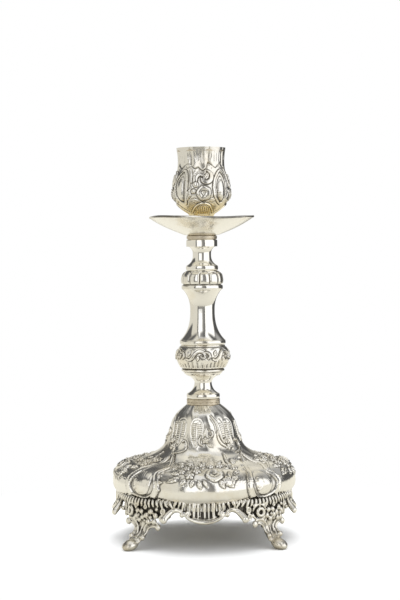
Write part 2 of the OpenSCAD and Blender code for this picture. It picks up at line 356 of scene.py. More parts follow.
class Casting:
    """Overlapping closed shapes, in mm, that are fused into one cast piece.

    face takes (distance across, height, lift) to a point on the casting's face, or lifted off it;
    place takes points to where the casting stands on the object.
    """

    def __init__(self, face, place):
        self.face, self.place = face, place
        self.points, self.faces = [], []

    def line(self, points):
        return [self.face(*point) for point in points]

    def shell(self, rings):
        """A closed shape from rings of points, shut by a fan at each end."""
        m, n = rings.shape[:2]
        start = len(self.points)
        self.points += [tuple(p) for p in self.place(rings.reshape(-1, 3))]
        for i in range(m - 1):
            for j in range(n):
                k = (j + 1) % n
                self.faces.append((start + i * n + j, start + i * n + k,
                                   start + (i + 1) * n + k, start + (i + 1) * n + j))
        for row, flip in ((0, True), (m - 1, False)):
            tip = len(self.points)
            self.points += [tuple(p) for p in self.place(rings[row].mean(0)[None])]
            for j in range(n):
                a, b = start + row * n + j, start + row * n + (j + 1) % n
                self.faces.append((tip, b, a) if flip else (tip, a, b))

    def tube(self, path, radii, side, wide=1.0, step=0.6, n=10):
        """A round-ended bar along a path; wide stretches it along side."""
        p = through(path, step)
        share = np.linspace(0, 1, len(p))
        r = np.interp(share, np.linspace(0, 1, len(radii)), radii)
        forward = np.gradient(p, axis=0)
        forward /= np.linalg.norm(forward, axis=1, keepdims=True) + 1e-9
        side = np.array(side, float)
        across = side - forward * (forward @ side)[:, None]
        weak = np.linalg.norm(across, axis=1) < 0.2
        across[weak] = np.cross(forward[weak], (0.37, 0.81, 0.45))
        across /= np.linalg.norm(across, axis=1, keepdims=True)
        third = np.cross(forward, across)
        a = angles(n)[:, None]
        rows = []
        for k in range(-END_RINGS, len(p) + END_RINGS):
            i = min(max(k, 0), len(p) - 1)
            over = k - i
            turn = abs(over) / END_RINGS * math.pi / 2
            size = r[i] * max(math.cos(turn), 0.05)
            centre = p[i] + forward[i] * math.copysign(math.sin(turn), over) * r[i] * (over != 0)
            rows.append(centre + size * (np.cos(a) * across[i] * wide + np.sin(a) * third[i]))
        self.shell(np.array(rows))

    def bar(self, points, radii, side, **more):
        """A tube through points on the face."""
        self.tube(self.line(points), radii, side, **more)

    def ball(self, centre, radii, n=14, m=9, lean=None):
        """An ellipsoid; lean gives its three axes."""
        tilt = np.linspace(-math.pi / 2 + POLE_GAP, math.pi / 2 - POLE_GAP, m)[:, None]
        rings = turned(np.cos(tilt), angles(n), np.sin(tilt)) * radii
        if lean is not None:
            rings = rings @ np.array(lean, float)
        self.shell(rings + centre)

    def frame(self, out):
        """Three directions: out, and two across it, the second as upright as it can be."""
        out = unit(out)
        right = unit(np.cross((0, 0, 1.0), out))
        return out, right, np.cross(out, right)

    def blossom(self, centre, out, r, bud, turn):
        """A cast flower of five petals that faces out."""
        out, right, up = self.frame(out)
        for k in range(5):
            a = turn + TAU * k / 5
            way = math.cos(a) * right + math.sin(a) * up
            self.ball(centre + way * r * 0.74, (math.sin(math.pi / 5) * r * 0.72, r * 0.4, r * 0.28),
                      n=16, m=11, lean=(np.cross(way, out), way, out))
        self.ball(centre + out * r * 0.16, r * bud, n=16, m=11)

    def petal(self, centre, way, out, half, length):
        """A cupped petal: a thin bowl with a thick lip."""
        out = unit(out)
        way = unit(way - out * (out @ way))
        across = np.cross(way, out)
        self.ball(centre - 0.6 * out, (half, length, 0.7), lean=(across, way, out))
        a = angles(12)[:, None]
        lip = centre + 0.78 * (half * np.cos(a) * across + length * np.sin(a) * way)
        self.tube(np.vstack([lip, lip[:2]]), [min(0.5, 0.34 * half)], out, step=0.5, n=8)

    def band(self, path, half, rim, out):
        """A flat strap with a raised lip along each edge."""
        p = through(path, 0.6)
        forward = np.gradient(p, axis=0)
        forward /= np.linalg.norm(forward, axis=1, keepdims=True)
        across = np.cross(out, forward)
        across /= np.linalg.norm(across, axis=1, keepdims=True)
        place = np.arange(len(p))
        taper = np.minimum(1.0, 0.55 + np.minimum(place, place[::-1]) * 0.09)[:, None]
        self.tube(p - 0.75 * np.array(out), [0.75 * half], out, n=12)
        for edge in (-1, 1):
            self.tube(p + across * edge * half * taper, [0.75 * rim, rim, rim, 0.75 * rim], out)

    def rosette(self, centre, out, r, thick):
        """A ring of metal round a hollow."""
        out, right, up = self.frame(out)
        a = angles(20)[:, None]
        path = centre + r * (np.cos(a) * right + np.sin(a) * up)
        self.tube(np.vstack([path, path[:2]]), [thick], out, step=0.5)

    def leaf(self, root, tip, half, out, curl):
        """Two blades side by side with a rib between them."""
        root, tip = np.array(root, float), np.array(tip, float)
        out = unit(out)
        across = unit(np.cross(out, tip - root))
        middle = (root + tip) / 2 + out * curl
        for side in (-1, 1):
            shift = across * side * half * 0.5
            self.tube([root + shift * 0.3, middle + shift * 1.1, tip + shift * 0.1],
                      [half * 0.35, half * 0.55, half * 0.12], across, wide=1.3)

    def fused(self, name):
        """Points and faces of the skin of everything that was added, kept off the floor."""
        soup = bpy.data.meshes.new(name + "_parts")
        soup.from_pydata([(x * MM, y * MM, z * MM) for x, y, z in self.points], [], self.faces)
        raw = bpy.data.objects.new(name + "_parts", soup)
        bpy.context.scene.collection.objects.link(raw)
        fuse = raw.modifiers.new("fuse", "REMESH")
        fuse.mode = "VOXEL"
        fuse.voxel_size = VOXEL * MM
        soften = raw.modifiers.new("soften", "SMOOTH")
        soften.iterations = SOFTENING
        soften.factor = 0.5
        seen = raw.evaluated_get(bpy.context.evaluated_depsgraph_get())
        mesh = bpy.data.meshes.new_from_object(seen)
        bpy.data.objects.remove(raw)
        bpy.data.meshes.remove(soup)
        points = np.zeros(len(mesh.vertices) * 3)
        mesh.vertices.foreach_get("co", points)
        points = points.reshape(-1, 3) / MM
        points[:, 2] = np.maximum(points[:, 2], FLOOR_Z)
        counts = np.zeros(len(mesh.polygons), np.int32)
        mesh.polygons.foreach_get("loop_total", counts)
        corners = np.zeros(len(mesh.loops), np.int32)
        mesh.loops.foreach_get("vertex_index", corners)
        if not (counts == 4).all():
            raise ValueError(name + " has faces that aren't four-sided")
        bpy.data.meshes.remove(mesh)
        return points, corners.reshape(-1, 4)


# ---------------------------------------------------------------- finishes

class Shader:
    """Builds the node tree of a material or a world."""

    def __init__(self, owner):
        owner.use_nodes = True
        self.tree = owner.node_tree
        self.tree.nodes.clear()

    def add(self, kind, inputs=None, **settings):
        """A node with its settings, and its inputs linked or given values."""
        node = self.tree.nodes.new("ShaderNode" + kind)
        for key, value in settings.items():
            setattr(node, key, value)
        for key, value in (inputs or {}).items():
            if isinstance(value, bpy.types.NodeSocket):
                self.tree.links.new(value, node.inputs[key])
            else:
                node.inputs[key].default_value = value
        return node

    def end(self, kind, shader):
        self.add("Output" + kind, {0: shader.outputs[0]})

    def math(self, operation, a, b=None, clamp=False):
        inputs = {0: a} if b is None else {0: a, 1: b}
        return self.add("Math", inputs, operation=operation, use_clamp=clamp).outputs[0]

    def spread(self, value, low, high, to_low=0.0, to_high=1.0):
        """A value mapped smoothly from one range to another and held at its ends."""
        return self.add("MapRange", {0: value, 1: low, 2: high, 3: to_low, 4: to_high},
                        interpolation_type="SMOOTHSTEP").outputs[0]

    def blend(self, factor, a, b):
        """Colour a turning into colour b as factor goes from 0 to 1."""
        a, b = ((*c, 1.0) if isinstance(c, tuple) else c for c in (a, b))
        return self.add("Mix", {0: factor, 6: a, 7: b}, data_type="RGBA").outputs[2]

    def noise(self, where, scale, detail=3.0, rough=0.55):
        return self.add("TexNoise", {"Vector": where, "Scale": scale, "Detail": detail,
                                     "Roughness": rough}).outputs["Fac"]


def metal(name, clean, stain, oxide_shade_colour, stained, dark, rough, pits, brushed=0.0, hollow_mm=2.2, deep=0.25,
          gilt=None):
    """Old metal: clean where it's rubbed, stained in clouds, black with oxide in its hollows, and given
    painted shade, stain-tinted then black, wherever ambient occlusion finds it shut in.

    gilt is a height below which it's gilded and one above which it isn't.
    """
    material = bpy.data.materials.new(name)
    s = Shader(material)
    where = s.add("TexCoord").outputs["Object"]
    clouds = s.noise(where, 55.0, 4.0)
    fine = s.noise(where, 420.0, 4.0, 0.6)
    grain = s.noise(where, 2600.0, 3.0, 0.6)
    worked = s.add("Attribute", attribute_name="recess").outputs["Fac"]
    # Painted shade: ambient occlusion darkens dishes, gaps between parts and the hollows.
    reach = {"Distance": hollow_mm * MM}
    shut = s.math("SUBTRACT", 1.0, s.add("AmbientOcclusion", reach, samples=6,
                                         only_local=True).outputs["AO"])

    # The darkening mask: oxide and painted shade from the recess attribute, and painted shade from ambient
    # occlusion.
    hollow = s.math("MAXIMUM", s.spread(worked, 0.06, 0.55), s.spread(shut, deep, deep + 0.5))
    hollow = s.math("MULTIPLY", hollow, s.spread(fine, 0.2, 0.55, 0.75, 1.0))
    oxide_and_shade_share = s.math("MULTIPLY", hollow, dark)
    mottled = s.math("ADD", clouds, s.math("MULTIPLY", fine, 0.22))
    cloud = s.math("MULTIPLY", s.spread(mottled, 0.57, 0.83), stained)
    # Painted shade tinted as stain, wherever ambient occlusion finds a point shut in.
    stain_and_shade_near_hollows = s.math("MULTIPLY", s.spread(shut, 0.08, 0.45), 0.7 * stained + 0.1)
    colour = s.blend(s.math("MAXIMUM", cloud, stain_and_shade_near_hollows), clean, stain)
    if gilt:
        height = s.math("DIVIDE", s.add("SeparateXYZ", {0: where}).outputs[2], MM)
        ragged = s.math("ADD", height, s.math("MULTIPLY", s.math("SUBTRACT", clouds, 0.5), 14.0))
        colour = s.blend(s.spread(ragged, gilt[1], gilt[0], 0.0, 0.9), colour, GILDING)
    # Oxide black in the hollows, and painted shade, laid over all the rest.
    colour = s.blend(oxide_and_shade_share, colour, oxide_shade_colour)

    dull = s.math("ADD", rough, s.math("MULTIPLY", s.math("MAXIMUM", cloud, oxide_and_shade_share), 0.3))
    uneven = s.math("MULTIPLY", s.math("SUBTRACT", fine, 0.5), 0.12)
    dull = s.math("ADD", dull, uneven, clamp=True)
    relief = s.math("ADD", fine, s.math("MULTIPLY", grain, 0.22))
    if brushed:
        across = s.add("Mapping", {"Vector": where, "Scale": (1.0, 1.0, 60.0)}).outputs[0]
        relief = s.math("ADD", relief, s.math("MULTIPLY", s.noise(across, 60.0, 3.0), brushed))
    bump = s.add("Bump", {"Strength": 1.0, "Distance": pits * MM, "Height": relief}).outputs[0]
    s.end("Material", s.add("BsdfPrincipled", {"Base Color": colour, "Metallic": 1.0, "Roughness": dull,
                                               "Normal": bump}))
    return material


CLEAN = (0.92, 0.90, 0.845)
STAIN = (0.70, 0.59, 0.38)
# The darkest colour: the black of oxide in the hollows, also laid on as painted shade where ambient occlusion
# finds a point shut in, behind the castings' faces and down the candle cup's bore.
OXIDE_AND_SHADE = (0.045, 0.04, 0.035)
GILDING = (1.0, 0.87, 0.56)

POLISHED = metal("polished_silver", CLEAN, STAIN, OXIDE_AND_SHADE, stained=0.30, dark=0.8, rough=0.09, pits=0.03)
CHASED = metal("chased_silver", CLEAN, STAIN, OXIDE_AND_SHADE, stained=0.35, dark=0.72, rough=0.13, pits=0.06)
# Castings take more painted shade from ambient occlusion, over a wider reach and from shallower shut-in
# places.
CAST = metal("cast_silver", (0.88, 0.855, 0.785), (0.55, 0.46, 0.31), OXIDE_AND_SHADE, stained=0.5, dark=0.94,
             rough=0.16,
             pits=0.10, hollow_mm=3.0, deep=0.16)
WORN = metal("worn_silver", (0.68, 0.61, 0.49), (0.44, 0.37, 0.26), OXIDE_AND_SHADE, stained=0.9, dark=0.8,
             rough=0.34,
             pits=0.12, brushed=0.5)
# stained also sets how strongly ambient occlusion tints the dish with stain as painted shade.
PAN = metal("pan_silver", CLEAN, STAIN, OXIDE_AND_SHADE, stained=0.6, dark=0.8, rough=0.18, pits=0.06)
STEEL = metal("steel", (0.52, 0.52, 0.53), (0.33, 0.29, 0.25), (0.06, 0.05, 0.045), stained=0.8, dark=0.7,
              rough=0.30, pits=0.10, brushed=0.6)
BRASS = metal("brass", (0.83, 0.66, 0.36), (0.48, 0.34, 0.16), (0.08, 0.06, 0.04), stained=0.8, dark=0.7,
              rough=0.26, pits=0.10, brushed=0.3)


def dress(piece, body, finish, replaced):
    """Gives a piece its finish and body, and hides the CAD node that it stands for."""
    piece.data.materials.append(finish)
    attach(piece, body)
    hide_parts(replaced)


# ---------------------------------------------------------------- turned pieces

def pull(a, b, c, n=24):
    """Points on a quadratic curve from a to c, pulled towards b."""
    t = np.linspace(0, 1, n + 1)[:, None]
    return np.array(a) * (1 - t) ** 2 + 2 * np.array(b) * t * (1 - t) + np.array(c) * t * t


def bead(r, out, z0, z1, n=16):
    """Points on a rounded moulding that stands out from radius r between two heights."""
    a = np.linspace(-math.pi / 2, math.pi / 2, n + 1)
    half = (z1 - z0) / 2
    return np.stack([r + out * np.cos(a), z0 + half + half * np.sin(a)], 1)


def even(line, step):
    """A line's points respaced to about step apart, with its corners kept."""
    rows = [line[:1]]
    for a, b in zip(line[:-1], line[1:]):
        gap = np.linalg.norm(b - a)
        if gap < 1e-6:
            continue
        count = max(1, int(math.ceil(gap / step)))
        rows.append(a + (b - a) * np.linspace(0, 1, count + 1)[1:, None])
    return np.vstack(rows)


SEAM = 0.22
SPIGOT = 1.4
TURNED_EDGE_DEG = 34.0


def bored(line, step):
    """An outline closed down the rod's bore, with its two outer edges eased so that a seam shows."""
    line = np.array(line, float)
    (low_r, low), (high_r, high) = line[0], line[-1]
    body = line[(line[:, 1] > low + SEAM) & (line[:, 1] < high - SEAM)]
    return even(np.vstack([
        [[BORE_R, low], [low_r - 1.2 * SEAM, low], [low_r - 0.2 * SEAM, low + SEAM]],
        body,
        [[high_r - 0.2 * SEAM, high - SEAM], [high_r - 1.2 * SEAM, high], [BORE_R, high]],
    ]), step)


def outside(closed, past_bore):
    """Which of an outline's points are further out than the bore, as a column."""
    return closed[:, :1] > BORE_R + past_bore


def lathe(name, line, n=160, step=0.6, work=None):
    """A turned piece, bored for the rod; work(rings, closed) gives its worked rings and their recess."""
    closed = bored(line, step)
    rings, recess = turned(closed[:, :1], angles(n), closed[:, 1:]), None
    if work:
        rings, recess = work(rings, closed)
    return ring_mesh(name, rings, recess, TURNED_EDGE_DEG)


def section_span(node):
    """The heights between which a stem section shows, above the spigot that seats it."""
    return bottom_of(node) + SPIGOT, top_of(node)


def stretched(line, node):
    """An outline whose heights run from 0 to 1, put where a stem section shows."""
    low, high = section_span(node)
    line = np.array(line, float)
    line[:, 1] = low + line[:, 1] * (high - low)
    return line


def polished_section(node, line):
    piece = lathe(node + "_turned", stretched(line, node))
    dress(piece, "stem", POLISHED, node)




def rough_band(rings, closed):
    """The slightly dented side of a worn ring."""
    a, z = angle_of(rings), rings[..., 2]
    wave = 0.05 * np.sin(7 * a + 1.3) + 0.04 * np.sin(19 * a + 9 * z) + 0.03 * np.sin(31 * a - 5 * z)
    face = outside(closed, 1.2)
    return moved_out(rings, wave * face), np.clip(-wave * 3, 0, 1) * face


SEAT_GAP = 0.03


def make_collar():
    low, high, r = bottom_of("base_collar"), top_of("base_collar") - SEAT_GAP, radius_of("base_collar")
    mid = (low + high) / 2
    line = [[r - 0.25, low], [r, low + 0.3], [r + 0.05, mid - 0.35], [r - 0.12, mid - 0.15],
            [r + 0.02, mid + 0.1], [r, high - 0.3], [r - 0.2, high]]
    collar = lathe("base_collar_worn", line, step=0.4, work=rough_band)
    dress(collar, "base", WORN, "base_collar")


make_collar()

polished_section("stem_foot", np.vstack([
    [[9.55, 0], [9.85, 0.025], [9.95, 0.1], [9.9, 0.165], [9.6, 0.205]],
    pull((9.4, 0.21), (5.4, 0.34), (5.15, 0.66)),
    pull((5.15, 0.68), (5.6, 0.86), (10.2, 1)),
]))

polished_section("baluster", np.vstack([
    [[12.9, 0]],
    bead(13.1, 0.7, 0.005, 0.083),
    pull((13.1, 0.086), (7.6, 0.24), (7.35, 0.52)),
    pull((7.35, 0.6), (7.5, 0.79), (11.6, 0.917)),
    bead(11.9, 0.5, 0.92, 0.994),
    [[11.5, 1]],
]))

polished_section("neck", np.vstack([
    bead(9, 0.65, 0, 0.168),
    pull((8.9, 0.172), (5.7, 0.27), (5.5, 0.46)),
    pull((5.5, 0.56), (5.6, 0.69), (7.7, 0.765)),
    [[9.3, 0.775]],
    pull((9.3, 0.95), (9.3, 1), (8.6, 1), 8),
]))

pan_ring = lathe("pan_ring_worn", stretched(bead(8.7, 0.4, 0, 1), "pan_ring"), step=0.35, work=rough_band)
dress(pan_ring, "stem", WORN, "pan_ring")

KNOP_FOLD = 6
KNOP_R = 15.9
KNOP_FLUTES = 34


def knop_scrolls(chart):
    """The running band round the knop: one scroll, and the ends of its two neighbours."""
    for turn in (-1, 0, 1):
        x = turn * KNOP_R * TAU / KNOP_FOLD
        chart.stroke([(x - 7.6, 10.2), (x - 5.6, 9.6), (x - 3.4, 11.0), (x - 1.6, 13.6), (x + 0.8, 14.8),
                      (x + 3.4, 14.0), (x + 4.4, 12.2), (x + 3.2, 10.8), (x + 1.8, 11.6)],
                     [0.6, 0.9, 1.0, 0.9, 0.8, 0.6], 0.6, rim=0.4)
        chart.stroke([(x + 4.6, 14.2), (x + 6.6, 13.4), (x + 7.2, 11.4), (x + 6.2, 10.6)], [0.5, 0.7, 0.6],
                     0.5)
        chart.leaf(x - 6.4, 12.0, 70, 3.6, 1.0, 0.5, veins=2)
        chart.leaf(x + 0.2, 12.0, -100, 3.2, 0.9, 0.5, veins=2)


def work_knop(rings, closed):
    """A running scroll band over a fluted cup."""
    z = closed[:, 1, None] - section_span("lower_knop")[0]
    a = angle_of(rings)
    face = outside(closed, 3)
    fold = ((a / TAU * KNOP_FOLD + 0.18) % 1 - 0.5) * TAU / KNOP_FOLD
    chart = Relief(KNOP_R * fold, np.broadcast_to(z, a.shape))
    knop_scrolls(chart)
    ripple = np.sin(KNOP_FLUTES * a + 0.9 * np.sin(5 * a))
    cup = 0.5 + 0.5 * np.sign(ripple) * np.abs(ripple) ** 0.6
    reach = 9.2 + 1.2 * np.sin(6 * a + 1.0)
    flute = cup * smoothstep((z - 4.3) / 0.8) * smoothstep((reach - z) / 2.4) * np.exp(-(chart.up / 0.2) ** 2)
    lines = sum(np.exp(-((z - at) / 0.27) ** 2) for at in (1.8, 3.9, 17.1))
    height = (1.5 * chart.height() - 0.5 * flute - 0.4 * lines) * face
    recess = np.clip(recess_of(height, 2, 3.0) + 0.8 * lines * face, 0, 1)
    return rings + surface_normals(rings) * height[..., None], recess


knop_line = stretched(np.vstack([
    pull((10.4, 0), (11.2, 0.03), (11.7, 0.083)),
    bead(12.0, 0.9, 0.09, 0.21),
    pull((13.3, 0.22), (16, 0.42), (15.95, 0.63)),
    pull((15.95, 0.63), (15.9, 0.81), (13.0, 1)),
]), "lower_knop")
knop = lathe("lower_knop_chased", knop_line, n=480, step=0.28, work=work_knop)
dress(knop, "stem", CHASED, "lower_knop")

GADROONS = 12
GADROON_SEAM = math.radians(-98)


def work_gadroons(rings, closed):
    """Upright lobes that round off under a grooved rim."""
    low, high = section_span("gadrooned_knop")
    z = (closed[:, 1:] - low) / (high - low)
    face = outside(closed, 3)
    bulge = np.abs(np.sin((angle_of(rings) - GADROON_SEAM) * GADROONS / 2))
    round_top = smoothstep((0.98 - z) / 0.3) * smoothstep((z - 0.02) / 0.1)
    height = (0.5 - 1.1 * (1 - bulge) ** 3) * round_top
    height = height - 0.35 * np.exp(-((z - 0.93 + 0.1 * (1 - bulge) ** 2) / 0.03) ** 2)
    seam = 0.75 * (1 - bulge) ** 8 * round_top + 0.9 * np.exp(-(z / 0.06) ** 2)
    return rings + surface_normals(rings) * (height * face)[..., None], np.clip(seam, 0, 1) * face


gadroon_line = stretched(np.vstack([
    pull((11.5, 0), (12.4, 0.19), (12.1, 0.43)),
    pull((12.1, 0.43), (11.8, 0.83), (9.4, 1)),
]), "gadrooned_knop")
gadroons = lathe("gadrooned_knop_chased", gadroon_line, n=360, step=0.35, work=work_gadroons)
dress(gadroons, "stem", CHASED, "gadrooned_knop")


# ---------------------------------------------------------------- drip pan

PAN_COLUMNS = 288
PAN_SHEET = 0.85
PAN_SINK = 1.7


def make_pan():
    """A shallow pan of thin sheet, with a rim that is neither quite level nor quite round."""
    low, rim = bottom_of("drip_pan"), radius_of("drip_pan")
    h = top_of("drip_pan") - low
    under = pull((8.8, -0.2), (0.77 * rim, 0.42 * h), (rim, h - PAN_SINK), 60)
    slope = np.gradient(under, axis=0)
    slope /= np.linalg.norm(slope, axis=1, keepdims=True)
    upper = under + np.stack([-slope[:, 1], slope[:, 0]], 1) * PAN_SHEET
    lip = bead(rim - 0.3, 0.55, under[-1][1] - 0.35, under[-1][1] + 0.95, 10)
    closed = even(np.vstack([[[BORE_R, 0.02], [8.2, 0.02]], under[3:-1], lip, upper[::-1][1:],
                             [[BORE_R, upper[0][1]]]]), 0.6)
    r, a = closed[:, :1], angles(PAN_COLUMNS)
    share = smoothstep((r - 0.55 * rim) / (0.45 * rim))
    wave = 0.28 * np.sin(2 * a + 0.7) + 0.2 * np.sin(3 * a + 2.1) + 0.1 * np.sin(7 * a + 0.4)
    sway = 1 + share * (0.004 * np.sin(3 * a + 0.8) + 0.002 * np.sin(8 * a))
    rings = turned(r * sway, a, closed[:, 1:] + low + share * wave)
    edge = np.exp(-((r - rim - 0.1) / 0.35) ** 2) * (0.5 + 0.35 * np.sin(5 * a + 0.6))
    pan = ring_mesh("drip_pan_raised", rings, edge)
    dress(pan, "pan", PAN, "drip_pan")


make_pan()


# ---------------------------------------------------------------- the shell

FACE_LINE = [(51.9, 0), (51.9, 3.2), (53.0, 4.8), (54.4, 7.1), (54.9, 10.6), (54.5, 14.2), (53.5, 17.0),
             (51.4, 19.4),
             (48.7, 21.3), (45.1, 22.7), (40.6, 23.8), (35.6, 25.1), (31.2, 26.5), (27.6, 28.2),
             (25.2, 30.2),
             (23.6, 32.4), (22.4, 35.0), (21.2, 38.0), (20.1, 42.0), (19.1, 45.6), (17.6, 48.4),
             (15.7, 51.0),
             (13.3, 53.2), (11.2, 54.9), (10.1, 55.8)]
LOBE_SWELL = 2.1
CORNER_DROP = 1.8
LINE_RUN = 80.6
SHELL_COLUMNS = 840
SKIRT_FLUTES = 34
SHELL_STEP = 0.31
SHEET = 0.9


def lobed(radius, a):
    """Radius of the plan at an angle: fullest at the sides, drawn in at the corners."""
    swell = LOBE_SWELL * smoothstep((radius - 26) / 22)
    return radius - swell + swell * np.cos(4 * a)


def face_flowers(chart):
    """The bouquet in the middle of each side, and the leaves round it."""
    for x, y, turn, length, half in (
            (10.5, 20.5, -42, 9.5, 2.0), (12.2, 22.5, -68, 8.6, 1.7), (14.4, 26.8, -78, 12.0, 1.8),
            (9.0, 19.2, -62, 6.0, 1.5), (16.8, 22.6, -84, 6.5, 1.4)):
        chart.leaf(x, y, turn, length, half, 1.1, veins=4)
    for x, y, turn, length, half in (
            (-14.6, 21.4, 206, 8.6, 1.9), (-14.4, 24.4, 170, 6.5, 1.5), (-10.8, 20.2, 232, 5.4, 1.4),
            (-6.4, 19.6, 252, 4.8, 1.3), (-3.4, 19.2, 286, 5.6, 1.4), (-0.6, 19.4, 300, 5.0, 1.2)):
        chart.leaf(x, y, turn, length, half, 1.0, veins=3)
    for x, y, r, turn in (
            (-8.4, 22.8, 2.9, 0.3), (-4.3, 26.6, 2.6, 0.9), (-13.0, 26.4, 2.3, 0.1),
            (-10.2, 30.0, 2.3, 0.5), (-5.2, 31.6, 2.4, 1.1), (-13.8, 34.4, 2.1, 0.2),
            (-8.0, 36.8, 2.3, 0.7), (-1.4, 34.6, 2.2, 0.4), (3.4, 33.0, 2.1, 0.9),
            (8.8, 34.0, 2.4, 0.0), (14.6, 35.0, 2.3, 0.5), (18.6, 31.2, 2.5, 0.3),
            (19.5, 25.8, 2.0, 0.7), (18.3, 20.6, 1.7, 0.2), (23.6, 34.6, 2.3, 0.1),
            (24.2, 28.0, 2.0, 0.9), (17.8, 39.6, 2.2, 0.4), (27.6, 38.2, 2.2, 0.6)):
        chart.flower(x, y, r, 1.25, turn)
    for x, y, turn in (
            (-16.2, 30.6, 150), (-1.0, 29.8, 70), (12.4, 30.6, 40), (15.6, 41.0, 20),
            (0.6, 37.4, 120), (-6.0, 40.6, 160), (21.6, 43.6, 10), (8.0, 38.0, 60),
            (-11.8, 38.6, 170)):
        chart.leaf(x, y, turn, 4.6, 1.2, 0.7, veins=3)
    chart.rose(6.1, 23.6, 5.5, 2.1, 2.2)
    chart.dots(scatter(11, 26, 17, 28, 15.2, 20.5))
    chart.dots(scatter(12, 16, -14, 0, 15.2, 19))
    chart.dots(scatter(13, 14, -26, -16, 23, 27))


def foot_of_bell(chart):
    """Scrolls, hooks and a drop of flowers where the bell meets the cushion."""
    chart.stroke([(-12.4, 57.2), (-11.0, 56.6), (-10.6, 54.4), (-11.4, 51.8), (-15.4, 49.6), (-20.4, 48.4),
                  (-26.0, 47.4)], [0.4, 0.6, 0.7, 0.6, 0.5, 0.3], 0.8, rim=0.3)
    chart.ball(-12.8, 56.6, 0.8, 0.9)
    chart.stroke([(3.0, 63.0), (4.6, 62.6), (5.2, 61.0), (4.4, 59.6), (3.2, 60.0)], [0.3, 0.6, 0.6, 0.4],
                 0.7, rim=0.2)
    chart.stroke([(-1.8, 59.6), (-2.8, 57.4), (-2.4, 55.4), (-0.8, 54.4)], [0.5, 0.6, 0.4], 0.5)
    chart.flower(0.9, 57.4, 2.1, 0.9, 0.3)
    chart.leaf(2.2, 55.6, -40, 3.6, 0.9, 0.6, veins=3)
    chart.leaf(0.6, 60.0, 84, 4.0, 0.8, 0.5, veins=3)
    chart.stroke([(8.4, 62.6), (8.8, 59.0), (10.6, 55.6), (14.0, 53.0)], [0.3, 0.6, 0.7, 0.4], 0.7, rim=0.3)
    for x, y, r in (
            (13.4, 56.6, 2.0), (16.0, 53.0, 2.2), (20.0, 51.8, 2.3), (22.8, 49.2, 2.2),
            (25.6, 46.4, 2.2), (27.4, 42.2, 2.0)):
        chart.flower(x, y, r, 1.0, 0.3 * x)


def corner_cartouche(chart):
    """A mirror in a scrolled frame, over each corner."""
    chart.oval(-1.2, 17.0, 7.2, 9.6, 1.1, power=2.2)
    chart.stroke([(1.0, 44.0), (-3.5, 33.0), (-7.6, 25.5), (-11.5, 18.5), (-12.6, 12.5), (-9.8, 7.4),
                  (-3.0, 5.4),
                  (4.0, 5.8), (9.2, 8.8), (11.4, 13.5), (9.6, 18.6), (6.6, 23.6), (8.8, 31.0), (6.0, 40.0),
                  (3.0, 46.0)],
                 [0.9, 1.6, 2.1, 2.2, 2.2, 2.2, 2.1, 2.0, 1.6, 1.3, 0.7], 1.25, rim=0.45)
    chart.stroke([(-6.4, 11.6), (-3.8, 13.4), (-3.4, 16.6), (-5.4, 18.4), (-7.0, 17.0)],
                 [0.9, 1.0, 0.9, 0.8, 0.9], 1.5,
                 rim=0.3)
    for shift in (0.0, 1.5, 3.0):
        chart.groove([(-4.6 + shift, 24.0), (-3.4 + shift, 20.6), (-1.8 + shift, 17.6),
                      (0.2 + shift, 15.6)], 0.3, 0.5)
    chart.groove([(4.2, 25.5), (3.6, 20.5), (4.4, 14.5), (1.4, 9.8), (-3.0, 9.0)], 0.3, 0.4)
    chart.ladder([(-7.8, 26.6), (-10.8, 20.4), (-12.0, 14.6)], 1.4, 1.3, 0.35)
    for y, turn, length in ((13.4, -20, 3.6), (16.6, 8, 4.4), (20.2, 34, 4.2), (23.8, 52, 3.8)):
        chart.leaf(10.8 if y < 20 else 8.6, y, turn, length, 1.4, 1.1, veins=2)
    chart.ball(13.2, 12.2, 1.0, 1.0)
    for x, y, turn, length in ((-1.0, 27.0, 100, 9.0), (2.2, 27.4, 84, 9.6), (4.6, 27.0, 66, 8.0)):
        chart.leaf(x, y, turn, length, 1.3, 0.9, veins=4)
    chart.stroke([(-6.2, 30.8), (-9.2, 34.2), (-9.8, 38.6), (-7.4, 42.4), (-5.0, 40.8)],
                 [0.6, 1.0, 1.0, 0.8, 0.7],
                 0.9, rim=0.4)
    chart.stroke([(11.4, 26.4), (14.0, 30.6), (13.4, 35.4), (10.2, 38.6)], [0.7, 1.0, 0.9, 0.6], 0.9,
                 rim=0.4)
    chart.stroke([(-16.6, 30.0), (-13.6, 36.4), (-11.4, 42.4), (-9.0, 48.0)], [0.4, 0.8, 0.8, 0.4], 0.7,
                 rim=0.3)
    chart.ladder([(-15.8, 31.6), (-13.2, 37.0), (-11.4, 42.0)], 1.2, 1.1, 0.25)


TONGUES_DEG = (-42, -12, 48)
STRAP_DEG = 30


